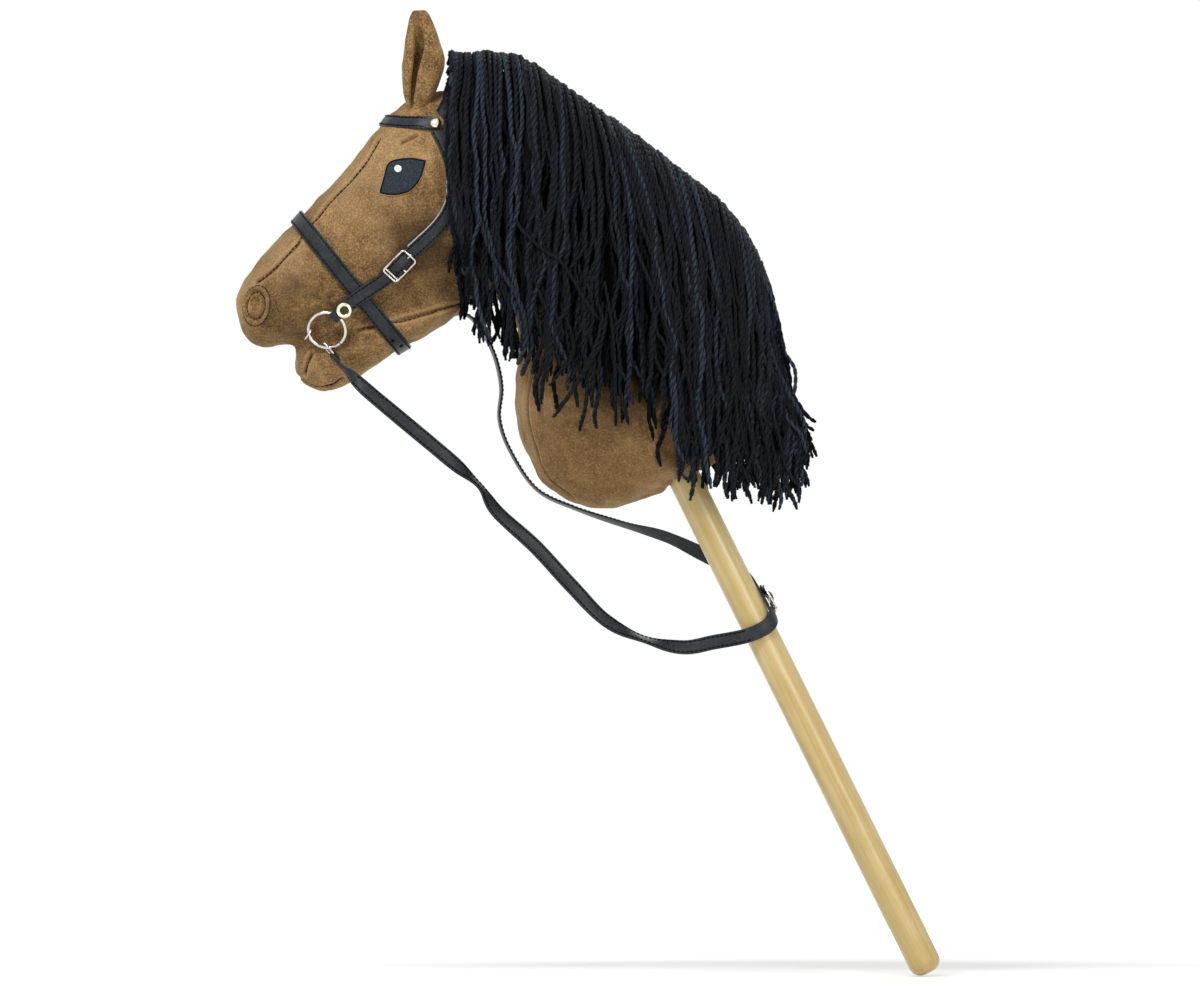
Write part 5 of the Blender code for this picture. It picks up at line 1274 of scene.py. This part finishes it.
# the cheek buckles' place, its way along the strap and its way out
cheekPlaces = {
    "near": ((-0.296, -0.0487, 0.3083), (-0.695, 0.1688, -0.6989), (0.0437, -0.9603, -0.2754)),
    "far": ((-0.296, 0.0487, 0.3083), (-0.695, -0.1688, -0.6989), (0.0437, 0.9603, -0.2754)),
}
for word, side in bothSides:
    place = placeOf(*(Vector(value) for value in cheekPlaces[word]))
    strapTop = strapPlan["thickness"] + bucklePlan["above"]
    names = (f"cheek_buckle_{word}", f"cheek_prong_{word}", f"{word}_cheek_prong")
    buckleAndProng(place, cheekPlan["width"], bucklePlan["length"], strapTop, *names)

    centre, axis = ringAt(word)
    first = square(Vector((math.cos(ringPlan["buttSeat"]), 0.0, math.sin(ringPlan["buttSeat"]))), axis)
    second = axis.cross(first)
    opening = ringPlan["buttGap"] / ringPlan["diameter"]
    turns = [opening + (math.tau - 2.0 * opening) * k / 120 for k in range(121)]
    around = [first * math.cos(turn) + second * math.sin(turn) for turn in turns]
    circle = [centre + out * ringPlan["diameter"] / 2.0 for out in around]
    ring = wireMesh("ring", [circle], ringPlan["wire"] / 2.0, 6)
    metalPiece(f"bit_ring_{word}", (ring,), f"{word}_ring", (f"bit_ring_{word}",))

    name = f"rein_link_{word}"
    middle, (along, across, face), _ = flatAxes(name)
    corners = roundedRectangle(linkPlan["length"], linkPlan["width"], linkPlan["corner"])
    outline = [middle + along * x + across * y for x, y in corners]
    link = wireMesh("link", [outline], linkPlan["wire"] / 2.0, 4, cyclic=True)
    metalPiece(name, (link,), replaces=(name,))

    # the rein's end, folded round the link's bar
    begin, along, facing = (Vector(value) for value in reinPlan[word + "Start"])
    gap, thick = reinPlan["gap"], reinPlan["thickness"]
    bar = begin - along * (reinEndPlan["length"] + gap) - facing * (gap + thick / 2.0)
    wrap = linkPlan["wire"] / 2.0 + gap
    rows = []
    for away in (reinEndPlan["length"], 0.0055, 0.0042, 0.003, 0.0015, 0.0):
        rise = wrap - (wrap - gap) * ease(away, 0.0, 0.0045)
        wider = (reinEndPlan["wide"] - reinEndPlan["narrow"]) * ease(away, 0.003, reinEndPlan["length"])
        rows.append((bar + along * away + facing * (rise + thick), facing, reinEndPlan["narrow"] + wider))
    for step in range(1, 14):
        turn = math.pi * step / 14
        out = facing * math.cos(turn) - along * math.sin(turn)
        rows.append((bar + out * (wrap + thick), out, reinEndPlan["narrow"]))
    for away in (0.0, 0.0015, 0.003, 0.0045, 0.0065):
        rise = wrap - (wrap - gap) * ease(away, 0.0, 0.0045)
        rows.append((bar + along * away - facing * (rise + thick), -facing, reinEndPlan["narrow"]))
    strapPiece(f"rein_end_{word}", rows, thick, replaces=(f"rein_end_{word}",))

names = ("rein_buckle", "rein_prong", "rein_buckle_prong")
buckleAndProng(reinPlace, reinPlan["width"], bucklePlan["reinLength"], bucklePlan["reinTop"], *names)

bitEye = Vector(bitPlan["near"])
lean = Vector((math.cos(bitPlan["eyeLean"]), 0.0, math.sin(bitPlan["eyeLean"])))
barHalf = abs(bitEye.y) - bitPlan["eyeDiameter"] / 2.0
barLine = [Vector((bitEye.x, y, bitEye.z)) for y in (-barHalf, barHalf)]
eyeLines = []
for word, side in bothSides:
    middle = Vector((bitEye.x, side * abs(bitEye.y), bitEye.z))
    turns = [math.tau * k / 32 for k in range(32)]
    around = [lean * math.cos(turn) + sideways * math.sin(turn) for turn in turns]
    eyeLines.append([middle + out * bitPlan["eyeDiameter"] / 2.0 for out in around])
bar = wireMesh("bar", [barLine], bitPlan["barDiameter"] / 2.0, 5)
bitEyes = wireMesh("eyes", eyeLines, bitPlan["eyeWire"] / 2.0, 5, cyclic=True)
metalPiece("bit_mouthpiece", (bar, bitEyes), replaces=("bit_mouthpiece",))

# rivets and studs, their outlines as (share of the radius, share of the height)
capPlan = {
    "cheek_rivet": dict(
        radius=0.0065, height=0.0026, cup=[(0.0, 0.5), (0.34, 0.52), (0.5, 0.62), (0.56, 0.88)],
        profile=[
            (0.0, 0.46), (0.3, 0.47), (0.46, 0.55), (0.56, 0.86), (0.68, 1.0), (0.82, 0.97), (0.93, 0.76),
            (1.0, 0.38), (0.97, 0.02), (0.9, 0.0),
        ],
    ),
    "browband_stud": dict(
        radius=0.0044, height=0.0030, cup=None,
        profile=[
            (0.0, 1.0), (0.3, 0.98), (0.58, 0.88), (0.8, 0.7), (0.93, 0.48), (1.0, 0.28), (0.98, 0.04), (0.9, 0.0),
        ],
    ),
}
for kind, plan in capPlan.items():
    for word, side in bothSides:
        node = f"{kind}_{word}"
        _, axes, middle = flatAxes(node)
        out = axes[2] if axes[2].y * side > 0.0 else -axes[2]
        place = placeOf(middle - out * plan["height"] / 2.0, axes[0], out)
        fine = flatLine(plan["profile"], 0.06)
        profile = [(max(0.0, point.x) * plan["radius"], point.z * plan["height"]) for point in fine]
        turnedPiece(f"{node}_brass", profile, place, 48, paleBrass, (node,))
        # the dark cup in the rivet's middle is a painted reflection
        if plan["cup"]:
            cup = [(r * plan["radius"], h * plan["height"]) for r, h in plan["cup"]]
            turnedPiece(f"{node}_cup", cup, place, 40, reflectionBrass)
print("metal made")


# stick and the twine that ties the hem to it
alongStick = placeOf(Vector((0.0, 0.0, 0.0)), acrossStick, upStick)
radius = stickPlan["diameter"] / 2.0
corner, flat = stickPlan["corner"], stickPlan["flat"]
arc = [math.pi / 2.0 * k / 12 for k in range(13)]
top, bottom = stickPlan["aboveGrip"], -stickPlan["belowGrip"]
profile = [(0.0, top)] + [(flat + (radius - flat) * math.sin(a), top - corner * (1.0 - math.cos(a))) for a in arc]
profile += [(radius, top + (bottom - top) * k / 24) for k in range(2, 23)]
profile += [(flat + (radius - flat) * math.cos(a), bottom + corner * (1.0 - math.sin(a))) for a in arc]
profile += [(0.0, bottom)]
turnedPiece("stick_pine", profile, alongStick, 72, pine, ("stick",))

tiePlan = dict(radius=0.0144, height=0.160, strand=0.00055, plies=3, twists=34, samples=300)
plies = []
for ply in range(tiePlan["plies"]):
    line = []
    for k in range(tiePlan["samples"]):
        turn = math.tau * k / tiePlan["samples"]
        spun = turn * tiePlan["twists"] + math.tau * ply / tiePlan["plies"]
        out = acrossStick * math.cos(turn) + sideways * math.sin(turn)
        beside = out * (tiePlan["radius"] + tiePlan["strand"] * math.cos(spun))
        line.append(beside + upStick * (tiePlan["height"] + tiePlan["strand"] * math.sin(spun)))
    plies.append(line)
wirePiece("hem_tie_twine", plies, tiePlan["strand"], twine, 2, cyclic=True, replaces=("hem_tie",))
print("stick made")


# mane: strands of two-ply yarn, sewn along the crest and falling to both sides
manePlan = dict(
    layers=(116, 104, 60), steps=(0.0025, 0.0033, 0.0038), radius=0.00205, pitch=0.0155, seed=11, locks=17, clump=0.42,
    cross=0.020, wave=0.0030, forward=0.0062, lean=0.11, crowd=0.055, sweep=0.026, over=0.0075, poll=9, curl=0.0065,
    # the waves along a strand, as (size, waves a metre), and its length: most, spread, and lost in each deeper layer
    swings=((1.0, 55.0), (0.55, 140.0), (0.3, 300.0)), reach=(1.05, 0.24, 0.05),
    roots=[
        (-0.256, 0.46), (-0.216, 0.4584), (-0.18, 0.4448), (-0.144, 0.4264), (-0.112, 0.4064), (-0.0816, 0.3864),
        (-0.056, 0.3632), (-0.0336, 0.3312), (-0.02, 0.2992), (-0.0128, 0.2672), (-0.0104, 0.2328),
    ],
    # two round plies side by side make a strand's section, and its turning along the strand is the twist
    section=[
        (0.98, 0.0), (0.8, 0.42), (0.4, 0.52), (0.0, 0.3), (-0.4, 0.52), (-0.8, 0.42), (-0.98, 0.0), (-0.8, -0.42),
        (-0.4, -0.52), (0.0, -0.3), (0.4, -0.52), (0.8, -0.42),
    ],
    fullness=1.35,
)
# strands that lie loose over the others on the near side
looseRuns = [
    [(-0.0176, 0.3328), (-0.0144, 0.3208), (0.0, 0.2808), (0.0104, 0.2408), (0.02, 0.2264), (0.0192, 0.2048),
     (0.0128, 0.1888), (0.024, 0.1752), (0.0304, 0.1568)],
    [(-0.08, 0.2408), (-0.0752, 0.2008), (-0.0752, 0.1688), (-0.0736, 0.1448), (-0.0656, 0.1368), (-0.056, 0.136)],
    [(-0.1312, 0.2968), (-0.1264, 0.2568), (-0.124, 0.2168), (-0.1232, 0.1784)],
    [(-0.1328, 0.2808), (-0.136, 0.2568), (-0.144, 0.2328), (-0.16, 0.2048), (-0.1744, 0.1864)],
    [(-0.128, 0.2808), (-0.1336, 0.2528), (-0.1456, 0.2264), (-0.1632, 0.2008), (-0.1712, 0.1928)],
    [(-0.0688, 0.2408), (-0.064, 0.2008), (-0.0608, 0.1688), (-0.0576, 0.1448)],
    [(-0.0256, 0.2248), (-0.02, 0.1848), (-0.0144, 0.1608), (-0.0224, 0.1384), (-0.0272, 0.1272)],
    [(-0.0144, 0.2168), (-0.008, 0.1768), (-0.0016, 0.1528), (0.0, 0.1272)],
    [(-0.004, 0.2168), (0.004, 0.1768), (0.0096, 0.1528), (0.0216, 0.132)],
    [(-0.168, 0.2808), (-0.156, 0.2408), (-0.168, 0.2232), (-0.1776, 0.2104)],
    [(-0.216, 0.3608), (-0.192, 0.3288), (-0.168, 0.3112), (-0.148, 0.2808), (-0.136, 0.2632)],
    [(-0.24, 0.3768), (-0.224, 0.3208), (-0.2, 0.2808), (-0.1936, 0.2408)],
    [(-0.12, 0.3768), (-0.104, 0.3128), (-0.0816, 0.2568), (-0.0752, 0.2312)],
    [(-0.056, 0.3208), (-0.0384, 0.2648), (-0.0296, 0.2168), (-0.0384, 0.1768), (-0.0432, 0.1608)],
]
underTree = treeOf("cheek_strap_near", "cheek_strap_far", "throatlatch", "crown_strap", "browband")


def along(points, share):
    x, z = rowAt(points, min(max(share, 0.0), 1.0) * (len(points) - 1))
    return Vector((x, 0.0, z))


def ridgeTop(share):
    # the top of the mane over this place on the crest, found from above
    root = along(manePlan["roots"], share)
    crest = (along(manePlan["roots"], share + 0.02) - along(manePlan["roots"], share - 0.02)).normalized()
    up = Vector((-crest.z, 0.0, crest.x))
    hits = []
    for word, side in bothSides:
        start = root + up * 0.08 + Vector((0.0, side * 0.0012, 0.0))
        hits.append(maneTrees[word].ray_cast(start, -up)[0])
    hits = [hit for hit in hits if hit]
    top = max(hits, key=lambda hit: (hit - root).dot(up)) if hits else root + up * 0.02
    return Vector((top.x, 0.0, top.z)), up


def seated(word, side, flat, sunk, drop):
    # on the mane's solid or a little into it, but never under the plush, else hanging beside it
    unders = [castSide(tree, flat.x, flat.z, side) for tree in (underTree, skinTree)]
    under = max((found for found in unders if found), key=lambda found: found[0].y * side, default=None)
    hit = castSide(maneTrees[word], flat.x, flat.z, side)
    if hit:
        point = hit[0] - hit[1] * sunk
        lowest = under[0].y * side + manePlan["radius"] * 0.85 if under else -1.0
        if point.y * side < lowest:
            point.y = side * lowest
        return point
    if under:
        return under[0] + under[1] * manePlan["radius"] * 1.2
    return Vector((flat.x, drop, flat.z)) if drop is not None else None


def fallOf(top, tip, first, second, t):
    return top * (1.0 - t) ** 3 + first * 3.0 * t * (1.0 - t) ** 2 + second * 3.0 * t * t * (1.0 - t) + tip * t**3


def strandLine(word, side, share, layer, chance):
    top, up = ridgeTop(share)
    crest = Vector((up.z, 0.0, -up.x))
    leaned = share + manePlan["lean"] * math.sin(math.pi * share)
    offset = 0.36 * layer + 0.2 * side  # no two layers part at one place
    lock = (round(leaned * manePlan["locks"] - 0.5 + offset) + 0.5 - offset) / manePlan["locks"]
    crossed = chance.gauss(0.0, manePlan["cross"]) * ease(share, 0.0, 0.08)
    tip = along(maneTips, leaned + (lock - leaned) * manePlan["clump"] + crossed)
    most, spread, lost = manePlan["reach"]
    reach = (tip - top) * (most - chance.random() ** 1.8 * spread - lost * layer + 0.05 * (chance.random() < 0.25))
    tip = top + reach
    # it lies along the crest, then falls, and hangs plumb at its end
    first = top + reach * 0.22 + crest * manePlan["sweep"] * ease(share, 0.02, 0.22) * chance.uniform(0.5, 1.4)
    second = tip + Vector((chance.gauss(-0.003, 0.004), 0.0, reach.length * 0.36))
    sunk = manePlan["radius"] * (0.75 + 1.35 * layer) + chance.uniform(-0.0010, 0.0008)
    count = max(8, round(reach.length / 0.0042))
    phases = [chance.uniform(0.0, math.tau) for _ in range(3)]
    wave = manePlan["wave"] * chance.uniform(0.3, 1.5)
    aside = Vector((reach.z, 0.0, -reach.x)).normalized()
    curl = chance.gauss(0.0, manePlan["curl"])
    front = 1.0 - ease(share, 0.0, 0.10)
    # sewn in on the other side of the ridge, so that it bows over it
    over = manePlan["over"] * chance.uniform(0.6, 1.2)
    line = [
        top - up * (sunk + over) - crest * 0.003 + Vector((0.0, -side * over, 0.0)),
        top - up * (sunk + over * 0.3) - crest * 0.002 + Vector((0.0, -side * over * 0.55, 0.0)),
        top - up * (sunk + chance.uniform(-0.0012, 0.0010)),
    ]
    drop = None
    for k in range(1, count + 1):
        t = k / count
        flat = fallOf(top, tip, first, second, t)
        swing = 0.0
        for (much, often), phase in zip(manePlan["swings"], phases):
            swing += much * math.sin(phase + t * reach.length * often)
        curled = curl * math.sin(5.0 * (t - 0.72)) * ease(t, 0.72, 1.0)
        flat += aside * (wave * ease(t, 0.02, 0.7) * swing + curled)
        flat.x -= manePlan["forward"] * front * ease(t, 0.1, 0.3) * (1.0 - ease(t, 0.75, 1.0))
        point = seated(word, side, flat, sunk, drop)
        if point is None:
            continue
        drop = point.y
        if point.y * side < 0.0004:
            point.y = side * 0.0004
        line.append(point)
    return smoothLine(evened(line, 2), manePlan["steps"][layer])


def yarnPiece(name, lines, radius, step, chance, finish, replaces=()):
    shape = manePlan["section"]
    outline = [(x * radius, y * radius * manePlan["fullness"], 0.0) for x, y in shape]
    section = lineCurve(name + "Section", [outline], True)
    section.dimensions = "2D"
    sectionHolder = placed(name + "Section", section)
    data = lineCurve(name, lines)
    data.bevel_mode = "OBJECT"
    data.bevel_object = sectionHolder
    for line, spline in zip(lines, data.splines):
        full = chance.uniform(0.88, 1.08)
        turn = chance.uniform(0.0, math.tau)
        for k, point in enumerate(spline.points):
            fromTip = (len(line) - 1 - k) * step
            point.tilt = turn + math.tau * k * step / manePlan["pitch"]
            point.radius = full * (0.55 + 0.45 * ease(fromTip, 0.0, 0.006))
    mesh = appliedMesh(placed(name, data))
    bpy.data.objects.remove(sectionHolder)
    # the mesh is one section after another: painted shade between the plies, and each strand has its own tone
    ply = [min(1.0, max(0.0, (abs(complex(x, y * manePlan["fullness"])) - 0.42) / 0.45)) for x, y in shape]
    tone = []
    for line in lines:
        tone += [chance.random() ** 1.6] * (len(line) * len(shape))
    mesh.attributes.new("tone", "FLOAT", "POINT").data.foreach_set("value", tone)
    mesh.attributes.new("ply", "FLOAT", "POINT").data.foreach_set("value", ply * (len(tone) // len(shape)))
    closed = bmesh.new()
    closed.from_mesh(mesh)
    bmesh.ops.holes_fill(closed, edges=[edge for edge in closed.edges if edge.is_boundary], sides=0)
    bmesh.ops.recalc_face_normals(closed, faces=closed.faces)
    closed.to_mesh(mesh)
    closed.free()
    mesh.shade_smooth()
    linked(name, mesh, finish, replaces=replaces)


for word, side in bothSides:
    chance = random.Random(manePlan["seed"] + (side > 0.0))
    for layer, (number, step) in enumerate(zip(manePlan["layers"], manePlan["steps"])):
        lines = []
        for k in range(number):
            share = (k + 0.5) / number + chance.uniform(-0.3, 0.3) / number
            share -= manePlan["crowd"] * math.sin(math.pi * share)  # more of them at the poll
            lines.append(strandLine(word, side, share, layer, chance))
        lines += [strandLine(word, side, chance.uniform(0.0, 0.14), layer, chance) for _ in range(manePlan["poll"])]
        half = len(lines) // 2
        finish, replaces = (shadedYarn, ()) if layer else (yarn, (f"mane_{word}",))
        for part, group in enumerate((lines[:half], lines[half:])):
            yarnPiece(f"mane_{word}_{layer}_{part}", group, manePlan["radius"], step, chance, finish, replaces)
    print("mane", word, "made")
chance = random.Random(manePlan["seed"] + 1)
lines = []
for run in looseRuns:
    drop = -0.020
    line = []
    run = flatLine(run, 0.004)
    for k, point in enumerate(run):
        sunk = manePlan["radius"] * (2.6 - 3.4 * ease(k / len(run), 0.0, 0.3))
        place = seated("near", -1.0, point, sunk, drop)
        drop = place.y
        line.append(place)
    lines.append(smoothLine(evened(line, 2), manePlan["steps"][0]))
yarnPiece("mane_near_loose", lines, manePlan["radius"] * 0.9, manePlan["steps"][0], chance, yarn)


size = {"cad": [list(corner) for corner in cadBounds], "visual": [list(corner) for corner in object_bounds()]}
